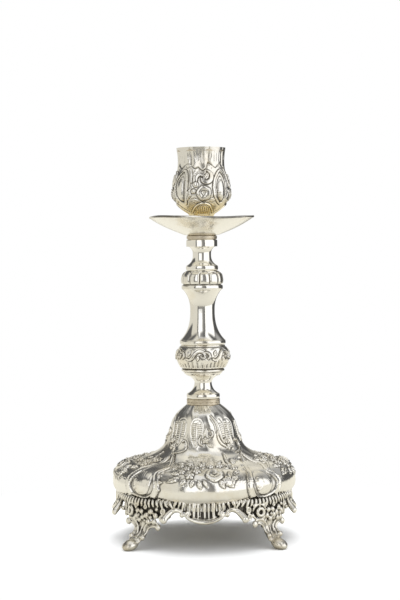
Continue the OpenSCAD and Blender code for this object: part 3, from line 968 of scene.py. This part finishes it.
def bell_panels(within, radius, y):
    """Pointed tongues with two columns of rungs, and a strap beside them, round one quarter of the bell."""
    total = np.zeros_like(y)
    for degrees in TONGUES_DEG:
        chart = Relief(radius * (within - math.radians(degrees)), y)
        for side in (-1, 1):
            chart.groove([(0.2 * side, 53.2), (1.9 * side, 56.0), (3.1 * side, 59.6), (3.6 * side, 63.5),
                          (3.1 * side, 67.4), (1.6 * side, 69.8), (0.0, 70.3)], 0.3, 0.15)
        chart.ladder([(-1.7, 57.6), (-1.9, 62.0), (-1.6, 68.4)], 1.2, 1.25, 0.34)
        chart.ladder([(1.5, 58.4), (1.7, 62.0), (1.4, 68.2)], 1.2, 1.25, 0.34)
        chart.stroke([(-0.2, 55.0), (-0.1, 61.0), (0.0, 67.6)], [0.25, 0.4, 0.3], 0.3)
        total += chart.height()
    chart = Relief(radius * (within - math.radians(STRAP_DEG)), y)
    chart.stroke([(-4.2, 72.4), (-2.0, 67.4), (-0.9, 61.6), (0.2, 56.4)], [0.3, 0.9, 1.1, 0.5], 0.7)
    chart.groove([(-5.0, 70.6), (-3.8, 66.0), (-3.3, 61.6)], 0.3, 0.4)
    chart.ladder([(1.6, 58.6), (1.4, 63.0), (0.2, 68.6)], 0.8, 1.3, 0.3)
    chart.groove([(0.4, 70.4), (2.6, 66.0), (2.9, 60.0), (2.4, 55.4)], 0.34, 0.4)
    return total + chart.height()


def shell_relief(radius, within, y, y_bell):
    """The chased work of one quarter; y climbs from the skirt, and y_bell is the same measured from above."""
    face = Relief(radius * within, y)
    face_flowers(face)
    face.y = y_bell
    foot_of_bell(face)
    from_corner = np.where(within < 0, within + TAU / 8, within - TAU / 8)
    corner = Relief(radius * from_corner, y)
    corner_cartouche(corner)
    on_face, on_corner = face.height(), corner.height()
    drawn = np.maximum(face.up, corner.up)
    height = np.where(corner.up > face.up, on_corner, on_face)
    height = np.where(drawn < 0.05, np.minimum(on_face, on_corner), height)
    height = height + bell_panels(within, radius, y_bell) * np.exp(-(drawn / 0.35) ** 2)
    skirt = smoothstep((5.6 - y) / 1.6)
    return height + 0.24 * np.cos(4 * SKIRT_FLUTES * within) * skirt - 0.1 * skirt


def lining(line, sheet):
    """The inside of a sheet piece: every tenth point of its outline, moved in by the sheet's thickness."""
    few = line[::10]
    few = np.vstack([few, line[-1:]]) if len(line) % 10 != 1 else few
    slope = np.gradient(few, axis=0)
    slope /= np.linalg.norm(slope, axis=1, keepdims=True)
    return few - np.stack([slope[:, 1], -slope[:, 0]], 1) * sheet


def make_shell():
    line = through(FACE_LINE, SHELL_STEP)
    line[:, 1] += SKIRT_Z
    line[0, 1], line[-1, 1] = SKIRT_Z, DOME_TOP
    r, z, s = line[:, :1], line[:, 1:], run_of(line)[:, None]
    a = angles(SHELL_COLUMNS) - TAU / 8
    cushion = smoothstep((r - 28) / 9) * smoothstep((z - SKIRT_Z - 12) / 9)
    rings = turned(lobed(r, a), a, z - CORNER_DROP * cushion * (0.5 - 0.5 * np.cos(4 * a)))

    quarter = SHELL_COLUMNS // 4
    y = np.repeat(s, quarter, 1)
    height = shell_relief(lobed(r, a)[:, :quarter], a[:quarter], y, y + LINE_RUN - s[-1])
    height = np.tile(height * smoothstep((s[-1] - y) / 2.5), (1, 4))
    dents = sum(depth * np.sin(waves * a + climb * s + climb) for depth, waves, climb in
                ((0.08, 5, 0.11), (0.06, 9, 0.17), (0.05, 14, 0.23), (0.04, 23, 0.31)))
    worked = height + dents * smoothstep((s - 4) / 4)
    outer = rings + surface_normals(rings) * worked[..., None]

    inside = lining(line, SHEET)
    inside[0, 1] = SKIRT_Z
    inside[-1] = (line[-1, 0] - 0.4, DOME_TOP - SHEET)
    inner = turned(lobed(inside[:, :1], a), a, inside[:, 1:])
    bore = turned(BORE_R, a, np.array([[DOME_TOP], [DOME_TOP - SHEET]]))
    shell = ring_mesh("base_shell_chased", np.concatenate([outer, bore, inner[::-1]]),
                      chased_recess(height, 2.2))
    dress(shell, "base", CHASED, "base_shell")


make_shell()


# ---------------------------------------------------------------- tulip socket and its cup

SOCKET_PANELS = 8
SOCKET_COLUMNS = 600
PANEL_EDGE = math.radians(-90 - 26)
SOCKET_TURN = math.radians(-90 + 5 - 45)
SOCKET_SINK = 0.6
SOCKET_SLIMMER = 0.5
SOCKET_SHEET = 1.2
SOLID_FOOT = 14.2
BOSS_R = radius_of("socket_boss") + 0.01
SOCKET = metal("socket_silver", (0.86, 0.84, 0.79), STAIN, OXIDE_AND_SHADE, stained=0.35, dark=0.85, rough=0.17,
               pits=0.06,
               gilt=(bottom_of("socket") + 13, bottom_of("socket") + 22))


def socket_flowers(chart):
    """One quarter of the socket's chased work; x is measured from the big rose, y from the socket's foot."""
    chart.rose(0.0, 23.7, 4.5, 1.7, 3.0)
    chart.stroke([(2.2, 37.0), (4.2, 35.6), (4.8, 33.2), (3.8, 31.0), (1.5, 30.1), (-0.5, 30.8),
                  (-1.0, 32.0)],
                 [0.5, 1.0, 1.3, 1.3, 1.1, 0.8], 1.3, rim=0.2)
    chart.leaf(0.8, 31.8, 62, 5.2, 1.4, 0.8, veins=3)
    chart.stroke([(-4.2, 30.9), (-3.9, 33.2), (-2.0, 34.6), (0.0, 33.8), (0.2, 32.2), (-0.9, 31.6)],
                 [0.5, 0.8, 0.9, 0.8, 0.7, 0.8], 1.3, rim=0.2)
    chart.ball(-4.8, 28.8, 1.8, 1.2)
    chart.ball(-6.3, 24.8, 1.5, 1.0)
    chart.leaf(-10.8, 19.4, 70, 7.6, 1.8, 0.8, veins=2)
    chart.stroke([(-7.6, 30.2), (-7.4, 34.0), (-7.6, 38.0)], [0.6, 0.8, 0.5], 0.8)
    chart.dots([(-5.2, 37.0), (-3.6, 36.2), (-4.4, 35.4), (-2.4, 37.0), (-5.6, 34.2), (4.9, 38.6)], 0.3,
               0.4)
    chart.stroke([(6.0, 27.0), (7.0, 32.6), (11.0, 37.3), (15.0, 32.6), (16.1, 27.0), (14.6, 21.0),
                  (11.0, 17.8),
                  (7.4, 21.0), (6.0, 27.2)], [0.75], 1.0, rim=0.3)
    chart.groove([(8.1, 26.6), (8.9, 31.2), (11.2, 34.0), (13.3, 31.2), (14.2, 26.6)], 0.3, 0.5)
    chart.oval(11.2, 25.6, 2.7, 6.2, 1.4, power=2.0)
    chart.flower(10.2, 24.2, 1.7, 1.7, 0.4)
    chart.groove([(-6.8, 39.8), (-5.2, 38.4), (-3.4, 39.0)], 0.36, 0.55)
    chart.groove([(-2.9, 39.0), (-0.3, 37.2), (1.9, 38.7)], 0.4, 0.65)
    chart.groove([(1.9, 38.7), (3.3, 42.0), (5.2, 40.6)], 0.36, 0.6)
    chart.groove([(5.4, 40.4), (7.8, 39.0), (10.2, 40.6), (12.2, 38.8), (14.6, 39.8)], 0.3, 0.4)
    chart.groove([(-12.4, 39.8), (-10.2, 41.4), (-7.8, 40.8)], 0.3, 0.35)
    chart.stroke([(-6.6, 12.6), (-4.6, 16.0), (-0.4, 17.7), (3.8, 16.6), (6.2, 12.8)], [0.55, 0.6, 0.55],
                 0.7)
    for x in (-3.4, -2.0, -0.6, 0.8, 2.2, 3.6):
        chart.groove([(0.75 * x, 11.6), (x, 15.4)], 0.3, 0.5)
    chart.leaf(3.4, 19.0, 24, 4.6, 1.2, 0.6, veins=3)
    chart.leaf(-3.2, 18.6, 160, 4.4, 1.2, 0.6, veins=3)


def socket_outline(h):
    line = np.vstack([
        pull((7.6, 0), (7.4, 0.028), (5.9, 0.066)),
        pull((5.9, 0.105), (6, 0.185), (8.2, 0.236)),
        pull((8.2, 0.236), (16.4, 0.33), (17.4, 0.448)),
        pull((17.4, 0.448), (18, 0.58), (15.2, 0.714)),
        pull((15.2, 0.714), (13.6, 0.82), (15.2, 1)),
    ])
    line[:, 1] *= h
    line[:, 0] -= SOCKET_SLIMMER * smoothstep((line[:, 1] - 0.25 * h) / 6)
    return even(line, 0.28)


def socket_relief(r, y):
    """The flowers of all four quarters, with those that cross from one quarter to the next."""
    quarter = SOCKET_COLUMNS // 4
    within = np.arange(quarter) / SOCKET_COLUMNS * TAU - TAU / 8
    total = np.zeros((len(y), quarter))
    for shift in (-1, 0, 1):
        chart = Relief(within * r + shift * r * TAU / 4, np.repeat(y, quarter, 1))
        socket_flowers(chart)
        height = chart.height()
        total = np.where(np.abs(height) > np.abs(total), height, total)
    return np.tile(total, (1, 4))


def make_socket():
    low = bottom_of("socket")
    h = top_of("socket") - low - SOCKET_SINK
    line = socket_outline(h)
    r, y = line[:, :1], line[:, 1:]
    rise = y / h
    a = angles(SOCKET_COLUMNS) + SOCKET_TURN
    rings = turned(r, a, y + low)

    edge = 1 - np.abs(np.sin((a - PANEL_EDGE) * SOCKET_PANELS / 2))
    panel = (-0.6 * edge ** 6 - 0.35 * edge) * smoothstep((rise - 0.76) / 0.06)
    panel = panel * (0.45 + 0.55 * smoothstep((1 - rise) / 0.12))
    fringe = 0.83 + 0.03 * np.sin(9 * a) + 0.02 * np.sin(23 * a + 1)
    flute = 0.2 * (0.5 + 0.5 * np.cos(38 * a + 0.8 * np.sin(7 * a))) ** 3
    flute = flute * smoothstep((rise - fringe) / 0.04) * smoothstep((0.97 - rise) / 0.08)
    height = (0.8 * socket_relief(r, y) + panel - flute) * smoothstep(y)
    outer = rings + surface_normals(rings) * height[..., None]
    recess = chased_recess(height, 2.4) * smoothstep((0.945 - rise) / 0.06)

    few = line[::6]
    few = few[few[:, 1] > SOLID_FOOT]
    inside = np.vstack([[[BOSS_R, 0], [BOSS_R, few[0, 1]]], few - (SOCKET_SHEET, 0),
                        [[line[-1, 0] - 0.9, h]]])
    inner = turned(inside[:, :1], a, inside[:, 1:] + low)
    socket = ring_mesh("socket_chased", np.concatenate([outer, inner[::-1]]), recess)
    dress(socket, "socket", SOCKET, "socket")


make_socket()


CUP_WALL = 0.9


def make_cup():
    """A straight liner with a flange, round the candle hole; its bore is darkened more the deeper it goes, as
    painted shade.
    """
    low, high, flange = bottom_of("candle_cup"), top_of("candle_cup"), radius_of("candle_cup")
    bore = frame["record"]["mounts"][0]["dims"]["r_mm"]
    out, floor, under = bore + CUP_WALL, low + CUP_WALL, high - CUP_WALL
    line = [[0.4, low], [out - 0.4, low], [out, low + 0.4], [out, under - 0.25], [flange, under - 0.2],
            [flange, high - 0.25], [flange - 0.2, high], [bore + 0.2, high], [bore, high - 0.25],
            [bore, floor + 0.3], [bore - 0.4, floor], [0.4, floor]]
    closed = even(np.array(line), 0.8)
    r, z, a = closed[:, :1], closed[:, 1:], angles(160)
    # Painted shade: the bore darkens towards its floor.
    deep = np.clip((high - z) / (high - low), 0, 1) * (r <= bore + 0.1)
    cup = ring_mesh("candle_cup_liner", turned(r, a, z), np.repeat(deep * 0.5, len(a), 1))
    dress(cup, "socket", WORN, "candle_cup")


make_cup()


# ---------------------------------------------------------------- castings on the base

FEET = {"foot_front_left": 0, "foot_front_right": 1, "foot_back_right": 2, "foot_back_left": 3}
APRONS = {"apron_front": 0, "apron_right": 1, "apron_back": 2, "apron_left": 3}


def quarter_turned(points, quarters):
    c, s = ((1, 0), (0, 1), (-1, 0), (0, -1))[quarters]
    return np.stack([c * points[:, 0] - s * points[:, 1], s * points[:, 0] + c * points[:, 1],
                     points[:, 2]], 1)


def hollows(points, faces, rounds, gain):
    """How far each point lies under the skin that its surroundings make, from 0 to 1."""
    links = np.vstack([faces[:, [k, (k + 1) % 4]] for k in range(4)])
    ends, others = np.concatenate([links, links[:, ::-1]]).T
    count = np.bincount(ends, minlength=len(points))[:, None]
    soft = points.copy()
    for _ in range(rounds):
        around = np.stack([np.bincount(ends, soft[others, k], len(points)) for k in range(3)], 1)
        soft = 0.3 * soft + 0.7 * around / count
    flat = np.cross(points[faces[:, 2]] - points[faces[:, 0]], points[faces[:, 3]] - points[faces[:, 1]])
    normal = np.stack([sum(np.bincount(faces[:, c], flat[:, k], len(points)) for c in range(4))
                       for k in range(3)], 1)
    normal /= np.linalg.norm(normal, axis=1, keepdims=True) + 1e-12
    return np.clip(((soft - points) * normal).sum(1) * gain, 0, 1)


def cast_copies(nodes, points, faces, painted_shade_depth):
    """The same casting at each of the four quarters; the last argument says how far below its face each point
    lies, and points more than about a millimetre below it are darkened nearly to black as painted shade.
    """
    recess = np.maximum(hollows(points, faces, 8, 3.4), hollows(points, faces, 45, 1.6))
    # Painted shade: the backing, the sides of bars and all else behind the face turn nearly black.
    recess = np.maximum(recess, 0.95 * smoothstep(painted_shade_depth / 1.1))
    for node, quarters in nodes.items():
        piece = new_mesh(node + "_cast", quarter_turned(points, quarters), faces, recess, crease_deg=0)
        dress(piece, "base", CAST, node)


# ---------------------------------------------------------------- cast aprons

LOBE_OFFSET = 11.0
LOBE_R = 43.0
APRON_OUT = (0, 1.0, 0)
APRON_ALONG = (1.0, 0, 0)
HALF_APRON = 30.0


def on_apron(points):
    """From (distance along the lobe, distance from its centre, height) to the side that faces -Y."""
    x, rho, z = points.T
    return np.stack([rho * np.sin(x / LOBE_R), -(LOBE_OFFSET + rho * np.cos(x / LOBE_R)), z + SKIRT_Z], 1)


def flare(z):
    """How far out the apron's face stands at a height above the skirt."""
    return 41.4 + 1.8 * smoothstep((1.0 - z) / 7.5)


def apron_face(x, z, lift=0.0):
    return (x, flare(z) + lift, z)


def flute_end(x):
    """Height of the flutes' lower ends: a curve over the smile, then two steps up."""
    x = abs(x)
    return -3.4 + 0.9 * (x / 9.0) ** 2 if x < 9.6 else 0.4 if x < 13 else 2.2


def apron_flutes(cast):
    """Uneven flutes on a backing of close bars, which lies behind the face and so is painted nearly black as
    shade.
    """
    for x in 0.8 * np.arange(-35, 36):
        low = flute_end(x) - 0.6
        cast.bar([(x, 4.6, -1.9), (x, (4.6 + low) / 2, -1.9), (x, low, -1.6)], [0.75], APRON_ALONG,
                 step=1.2, n=8)
    x, k = -HALF_APRON, 0
    while x < HALF_APRON + 0.5:
        low, top = flute_end(x), 5.1 + 0.15 * math.cos(2.1 * k)
        width = 0.66 + 0.12 * math.sin(1.7 * k) + 0.1 * math.cos(3.1 * k)
        lean = 0.035 * (x - 1.5 * math.sin(k)) * (abs(x) > 12)
        cast.bar([(x, top, -0.15), (x, (2 * top + low) / 3, 0.2), (x + lean, (top + 2 * low) / 3, 0.25),
                  (x + 1.6 * lean, low, 0.1)], [width, width, 0.8 * width, 0.6 * width], APRON_ALONG,
                  wide=1.42)
        if k % 3 == 0:
            cast.bar([(x + 1.45, top - 0.6, -0.5), (x + 1.4, (top + low) / 2, -0.4),
                      (x + 1.3, max(low, -2.8), -0.4)], [0.3, 0.34, 0.25], APRON_ALONG, n=8)
        x += 2.7 + 0.45 * math.sin(2.3 * k) + (0.7 if k % 3 == 0 else 0.0)
        k += 1


def apron_scrolls(cast):
    """The hanging smile between two curls, and a wing towards each foot."""
    half = [(-8.3, -1.5, 0.3), (-9.0, -0.5, 0.3), (-10.3, -0.4, 0.3), (-11.0, -1.5, 0.3),
            (-10.2, -2.9, 0.4),
            (-8.0, -4.1, 0.4), (-4.6, -5.3, 0.4), (0, -5.8, 0.4)]
    smile = half + [(-x, z, lift) for x, z, lift in half[-2::-1]]
    cast.bar(smile, [0.75, 0.95, 1.0, 1.15, 1.25, 1.15, 1.0, 0.95, 0.75], APRON_OUT, n=12)
    cast.bar([(-7.0, -2.9, -0.2), (-4.2, -4.0, -0.2), (0, -4.5, -0.2), (4.2, -4.0, -0.2),
              (7.0, -2.9, -0.2)],
             [0.3, 0.4, 0.4, 0.4, 0.3], APRON_OUT, n=8)
    for x in (-9.6, 9.6):
        cast.ball(apron_face(x, -1.7, 0.7), 0.85)
    for s in (-1, 1):
        cast.ball(apron_face(13.2 * s, -2.0, 0.7), (1.5, 1.2, 1.4))
        cast.bar([(13.0 * s, -1.5, 0.3), (14.4 * s, 0.0, 0.4), (16.7 * s, 0.6, 0.7), (19.0 * s, 0.0, 0.9),
                  (20.8 * s, -1.9, 2.6), (21.9 * s, -4.3, 4.8)], [1.05, 1.3, 1.5, 1.7, 1.8, 1.8], APRON_OUT,
                  n=14)
        cast.ball(apron_face(21.9 * s, -4.8, 5.0), (2.0, 1.4, 1.8), n=16, m=11)


def make_aprons():
    cast = Casting(apron_face, on_apron)
    apron_flutes(cast)
    apron_scrolls(cast)
    points, faces = cast.fused("apron")
    from_centre = np.hypot(points[:, 0], points[:, 1] + LOBE_OFFSET)
    # How far each point lies behind the apron's face, which cast_copies turns into painted shade.
    cast_copies(APRONS, points, faces, flare(points[:, 2] - SKIRT_Z) - 0.1 - from_centre)


make_aprons()


# ---------------------------------------------------------------- cast feet

DIAGONAL = math.sqrt(0.5)
FOOT_OUT = (1.0, 0, 0)
FOOT_ALONG = (0, 1.0, 0)
TOE_LEAN = ((0.955, 0, -0.295), (0, 1, 0), (0.295, 0, 0.955))


def on_foot(points):
    """From (distance out, distance across, height) to a foot on the corner between -X and -Y."""
    u, v, z = points.T
    return np.stack([DIAGONAL * (v - u), -DIAGONAL * (u + v), z + FLOOR_Z], 1)


def foot_bow(v, z, out, kick):
    """How far out a foot's face stands: bowed across, with the shin kicked out towards the toe."""
    return out - 0.011 * v * v + kick * smoothstep((11.5 - z) / 7.0)


def foot_face(v, z, lift=0.0):
    return (foot_bow(v, z, 52.2, 5.4) + lift, v, z)


def foot_crest(cast):
    """The fluted strip that the flowers hang on."""
    for v in np.linspace(-18, 18, 25):
        low = 17.6 + 0.010 * v * v if abs(v) > 4 else 12.0
        cast.bar([(v, 26.2, -2.4), (v, 22.0, -2.0), (v, low, -1.8)], [1.05, 1.1, 0.9], FOOT_ALONG, step=1.4,
                 n=8)
    for k, v in enumerate(np.arange(-19.5, 20, 2.6)):
        end = 25.0 + 0.6 * math.sin(2.3 * k)
        cast.bar([(v, 28.2, -0.3), (v + 0.05 * v, 26.8, 0.3), (v + 0.1 * v, end, 0.3)], [0.85, 0.9, 0.6],
                 FOOT_ALONG)


def foot_shin(cast):
    """The leg, its ribs and its two arms, down to the ball of the toe."""
    leg = cast.line([(1.2, 18.0, -1.0), (1.2, 13.5, -1.2), (0.9, 10.2, -1.4), (0.4, 7.4, -1.6)])
    cast.tube(leg + [(57.4, 0.0, 5.0)], [1.3, 1.3, 1.2, 1.3, 1.6], FOOT_ALONG, wide=3.1, n=16)
    cast.bar([(1.3, 16.6, 0.0), (1.1, 12.6, 0.1), (0.7, 9.4, 0.1), (0.2, 7.4, 0.0)], [0.5, 0.4, 0.55, 0.6],
             FOOT_ALONG, n=8)
    for rib in ([(-2.0, 12.2, 0.2), (-3.0, 10.0, 0.3), (-2.9, 8.2, 0.3), (-2.3, 6.4, 0.3)],
                [(4.6, 11.2, 0.2), (4.0, 9.2, 0.3), (3.3, 7.8, 0.3), (2.4, 6.2, 0.3)]):
        cast.bar(rib, [0.8, 0.8, 0.75, 0.6], FOOT_OUT)
    for arm in ([(5.4, 7.4, 0.6), (4.6, 9.6, 0.5), (5.0, 12.0, 0.5), (7.2, 14.0, 0.6), (10.2, 14.8, 0.7),
                 (11.9, 14.8, 0.7), (13.3, 13.8, 0.6)],
                [(-3.6, 7.4, 0.6), (-2.6, 9.6, 0.5), (-3.0, 12.4, 0.5), (-5.2, 14.8, 0.6),
                 (-8.0, 15.9, 0.7),
                 (-10.6, 15.2, 0.6)]):
        cast.band(cast.line(arm), 1.3, 0.7, FOOT_OUT)
    for v, z, lift, radii in (
            (5.6, 7.2, 0.9, (1.2, 1.8, 1.7)), (13.2, 13.2, 0.9, (1.2, 1.9, 2.0)),
            (-3.6, 7.4, 0.9, (1.2, 1.6, 1.6)), (-10.8, 14.4, 1.0, (1.3, 2.0, 2.1))):
        cast.ball(foot_face(v, z, lift), radii)
    cast.ball((60.5, 0, 2.9), (5.4, 4.3, 3.05), n=28, m=17, lean=TOE_LEAN)
    for v, tip in ((-2.6, -3.3), (0.0, 0.2), (2.6, 3.3)):
        cast.leaf((55.0 - 0.08 * v * v, 0.7 * v, 7.4), (58.2 - 0.1 * v * v, tip, 5.5), 1.1, (1.0, 0, 0.8),
                  0.4)


def foot_flowers(cast):
    """Two blossoms and a rosette in leaves, with petals and buds round them."""
    cast.blossom(foot_face(8.8, 18.9, 1.0), (1.0, 0.3, 0), 4.3, bud=0.27, turn=0.35)
    cast.blossom(foot_face(0.4, 19.6, 1.3), (1.0, -0.05, 0), 3.8, bud=0.25, turn=0.9)
    cast.rosette(foot_face(-7.4, 21.2, 1.5), (1.0, -0.28, 0.05), 2.1, 1.05)
    for turn in (0.75, 2.3, 3.9, 5.4):
        a = turn + np.linspace(-0.62, 0.62, 5)
        cast.bar([(-7.4 + 4.5 * c, 21.2 + 4.4 * s, 0.4) for c, s in zip(np.cos(a), np.sin(a))],
                 [0.45, 0.75, 0.85, 0.75, 0.45], FOOT_OUT)
    for v, z, r in (
            (15.2, 18.6, 2.1), (16.2, 22.6, 2.1), (-14.0, 18.8, 2.1), (-14.6, 22.8, 2.1),
            (-3.4, 16.6, 1.5), (4.4, 24.4, 1.6), (-3.0, 24.8, 1.5)):
        cast.petal(foot_face(v, z, 0.6), (0, 0.35, 1.0), (1.0, 0.02 * v, 0), 0.8 * r, r)
    for v, z, r in (
            (12.2, 23.6, 1.2), (-10.8, 25.0, 1.1), (19.6, 20.4, 1.5), (-18.4, 20.6, 1.5),
            (3.8, 16.6, 1.0)):
        cast.ball(foot_face(v, z, 0.4), (0.9 * r, r, r))


def make_feet():
    cast = Casting(foot_face, on_foot)
    foot_crest(cast)
    foot_shin(cast)
    foot_flowers(cast)
    points, faces = cast.fused("foot")
    x, y, z = points[:, 0], points[:, 1], points[:, 2] - FLOOR_Z
    out, across = -DIAGONAL * (x + y), DIAGONAL * (x - y)
    # How far each point lies behind the foot's face, above the toe, which cast_copies turns into painted
    # shade.
    cast_copies(FEET, points, faces, (foot_bow(across, z, 52.5, 5.6) - out) * smoothstep((z - 5.5) / 2.0))


make_feet()


# ---------------------------------------------------------------- inner fittings

FITTINGS = {"clamp_disc": STEEL, "tie_rod": STEEL, "washer": STEEL, "wing_nut": BRASS, "socket_boss": BRASS}

for fitting, finish in FITTINGS.items():
    materials = frame["nodes"][fitting].data.materials
    materials.clear()
    materials.append(finish)


# ---------------------------------------------------------------- studio

def gradient(shader, value, stops):
    """A colour ramp over value, from (place, colour) stops."""
    ramp = shader.add("ValToRGB", {0: value})
    steps = ramp.color_ramp.elements
    while len(steps) < len(stops):
        steps.new(0.5)
    for step, (place, colour) in zip(steps, stops):
        step.position = place
        step.color = (*colour, 1.0)
    return ramp.outputs[0]


def grey(level, warm=0.0):
    return (level, level * (1 - 0.35 * warm), level * (1 - warm))


def make_world():
    """White to the camera; to the metal, a studio of pale cards with dark gaps between them."""
    world = bpy.data.worlds.new("studio")
    bpy.context.scene.world = world
    s = Shader(world)
    right, back, up = s.add("SeparateXYZ", {0: s.add("TexCoord").outputs["Generated"]}).outputs
    azimuth = s.math("ARCTAN2", right, s.math("MULTIPLY", back, -1.0))
    turn = s.math("ADD", s.math("DIVIDE", azimuth, TAU), 0.5)
    height = s.math("ADD", s.math("DIVIDE", s.math("ARCSINE", up), math.pi), 0.5)
    aside = s.math("ABSOLUTE", right)
    cream, white, shade, gap, dim = (0.75, 0.728, 0.655), grey(1.25), grey(0.28,
                                                                           0.06), grey(0.04), grey(0.09)

    def cards(front):
        return gradient(s, turn, [
            (0.0, cream), (0.368, cream), (0.378, gap), (0.390, gap), *front, (0.545, shade), (0.55, gap),
            (0.558, gap), (0.572, white), (0.775, white), (0.80, dim), (0.955, dim), (1.0, cream)])

    upper = cards([(0.400, white), (0.486, white), (0.506, shade)])
    lower = cards([(0.400, shade)])
    sky = s.blend(s.spread(height, 0.470, 0.490), lower, upper)

    back_card = s.blend(s.spread(aside, 0.25, 0.5), (0.86, 0.83, 0.74), grey(0.42))
    behind = s.math("MULTIPLY", s.spread(back, 0.1, 0.4), s.spread(up, 0.35, 0.6))
    sky = s.blend(behind, sky, back_card)

    sky = s.blend(s.spread(height, 0.84, 0.92), sky, grey(0.85))
    hood = gradient(s, height, [(0.74, grey(0.0)), (0.79, grey(1.0)), (0.86, grey(1.0)), (0.92, grey(0.0))])
    ahead = s.math("MULTIPLY", s.spread(aside, 0.28, 0.15), s.spread(back, 0.1, -0.05))
    hood = s.math("MULTIPLY", hood, s.math("MAXIMUM", s.spread(aside, 0.40, 0.55),
                                           s.math("MULTIPLY", ahead, 0.85)))
    sky = s.blend(hood, sky, grey(0.13))

    dark_left = s.math("MULTIPLY", s.spread(right, -0.08, -0.2), s.spread(back, 0.0, 0.15))
    dark_left = s.math("MULTIPLY", dark_left, s.spread(up, 0.16, 0.3))
    sky = s.blend(s.math("MULTIPLY", dark_left, s.spread(up, 0.8, 0.66)), sky, grey(0.11))
    table = gradient(s, height, [(0.40, grey(1.0)), (0.43, grey(0.0))])
    sky = s.blend(table, sky, (0.72, 0.70, 0.61))

    rays = s.add("LightPath").outputs
    sky = s.blend(rays["Is Diffuse Ray"], sky, grey(0.98))
    colour = s.blend(rays["Is Camera Ray"], sky, grey(1.0))
    s.end("World", s.add("Background", {"Color": colour, "Strength": 1.0}))


make_world()

FLOOR_HALF_M = 6.0
FLOOR_GAP = 0.02


def make_floor():
    """A pale floor that takes the shadow, then fades to white for the camera and to nothing for the metal."""
    corners = [(x * FLOOR_HALF_M, y * FLOOR_HALF_M, 0) for x, y in ((-1, -1), (1, -1), (1, 1), (-1, 1))]
    mesh = bpy.data.meshes.new("floor")
    mesh.from_pydata(corners, [], [(0, 1, 2, 3)])
    floor = bpy.data.objects.new("floor", mesh)
    floor.location.z = (FLOOR_Z - FLOOR_GAP) * MM
    bpy.context.scene.collection.objects.link(floor)
    material = bpy.data.materials.new("studio_floor")
    s = Shader(material)
    seen = s.add("LightPath").outputs["Is Camera Ray"]
    tone = s.blend(seen, (0.56, 0.545, 0.485), (0.965, 0.975, 0.985))
    shade = s.add("BsdfDiffuse", {"Color": tone})
    plain = s.add("Emission", {"Color": (1.0, 1.0, 1.0, 1.0), "Strength": 1.0})
    away = s.add("VectorMath", {0: s.add("NewGeometry").outputs["Position"]},
                 operation="LENGTH").outputs["Value"]
    fade = s.math("MULTIPLY", s.spread(away, 0.08, 0.21), seen)
    both = s.add("MixShader", {0: fade, 1: shade.outputs[0], 2: plain.outputs[0]})
    gone = s.math("MULTIPLY", s.spread(away, 0.5, 0.7), s.math("SUBTRACT", 1.0, seen))
    s.end("Material", s.add("MixShader", {0: gone, 1: both.outputs[0],
                                          2: s.add("BsdfTransparent").outputs[0]}))
    mesh.materials.append(material)


make_floor()

LAMP_PLACE = (0.0, 0.42, 0.95)
LAMP_ACROSS_M = 1.2
LAMP_WATTS = 9.6


def make_lamp():
    """A soft overhead light for the shadow, which the metal doesn't mirror."""
    data = bpy.data.lights.new("overhead", "AREA")
    data.shape = "DISK"
    data.size = LAMP_ACROSS_M
    data.energy = LAMP_WATTS
    lamp = bpy.data.objects.new("overhead", data)
    lamp.location = LAMP_PLACE
    lamp.rotation_euler = (Vector((0, 0, 0)) - Vector(LAMP_PLACE)).to_track_quat("-Z", "Y").to_euler()
    lamp.visible_camera = False
    lamp.visible_glossy = False
    bpy.context.scene.collection.objects.link(lamp)


make_lamp()

CAMERA_PLACE = (-0.0014, -0.888, 0.176)
CAMERA_DOWN_DEG = 2.2
CAMERA_ROLL_DEG = -0.55
LENS_MM = 88.8


def make_camera():
    data = bpy.data.cameras.new("camera")
    data.lens = LENS_MM
    data.sensor_width = 36.0
    data.clip_start, data.clip_end = 0.05, 30.0
    camera = bpy.data.objects.new("camera", data)
    tilt = Matrix.Rotation(math.radians(90 - CAMERA_DOWN_DEG), 4, "X")
    roll = Matrix.Rotation(math.radians(CAMERA_ROLL_DEG), 4, "Z")
    camera.matrix_world = Matrix.Translation(CAMERA_PLACE) @ tilt @ roll
    bpy.context.scene.collection.objects.link(camera)
    bpy.context.scene.camera = camera


make_camera()
bpy.context.scene.view_settings.view_transform = "Standard"
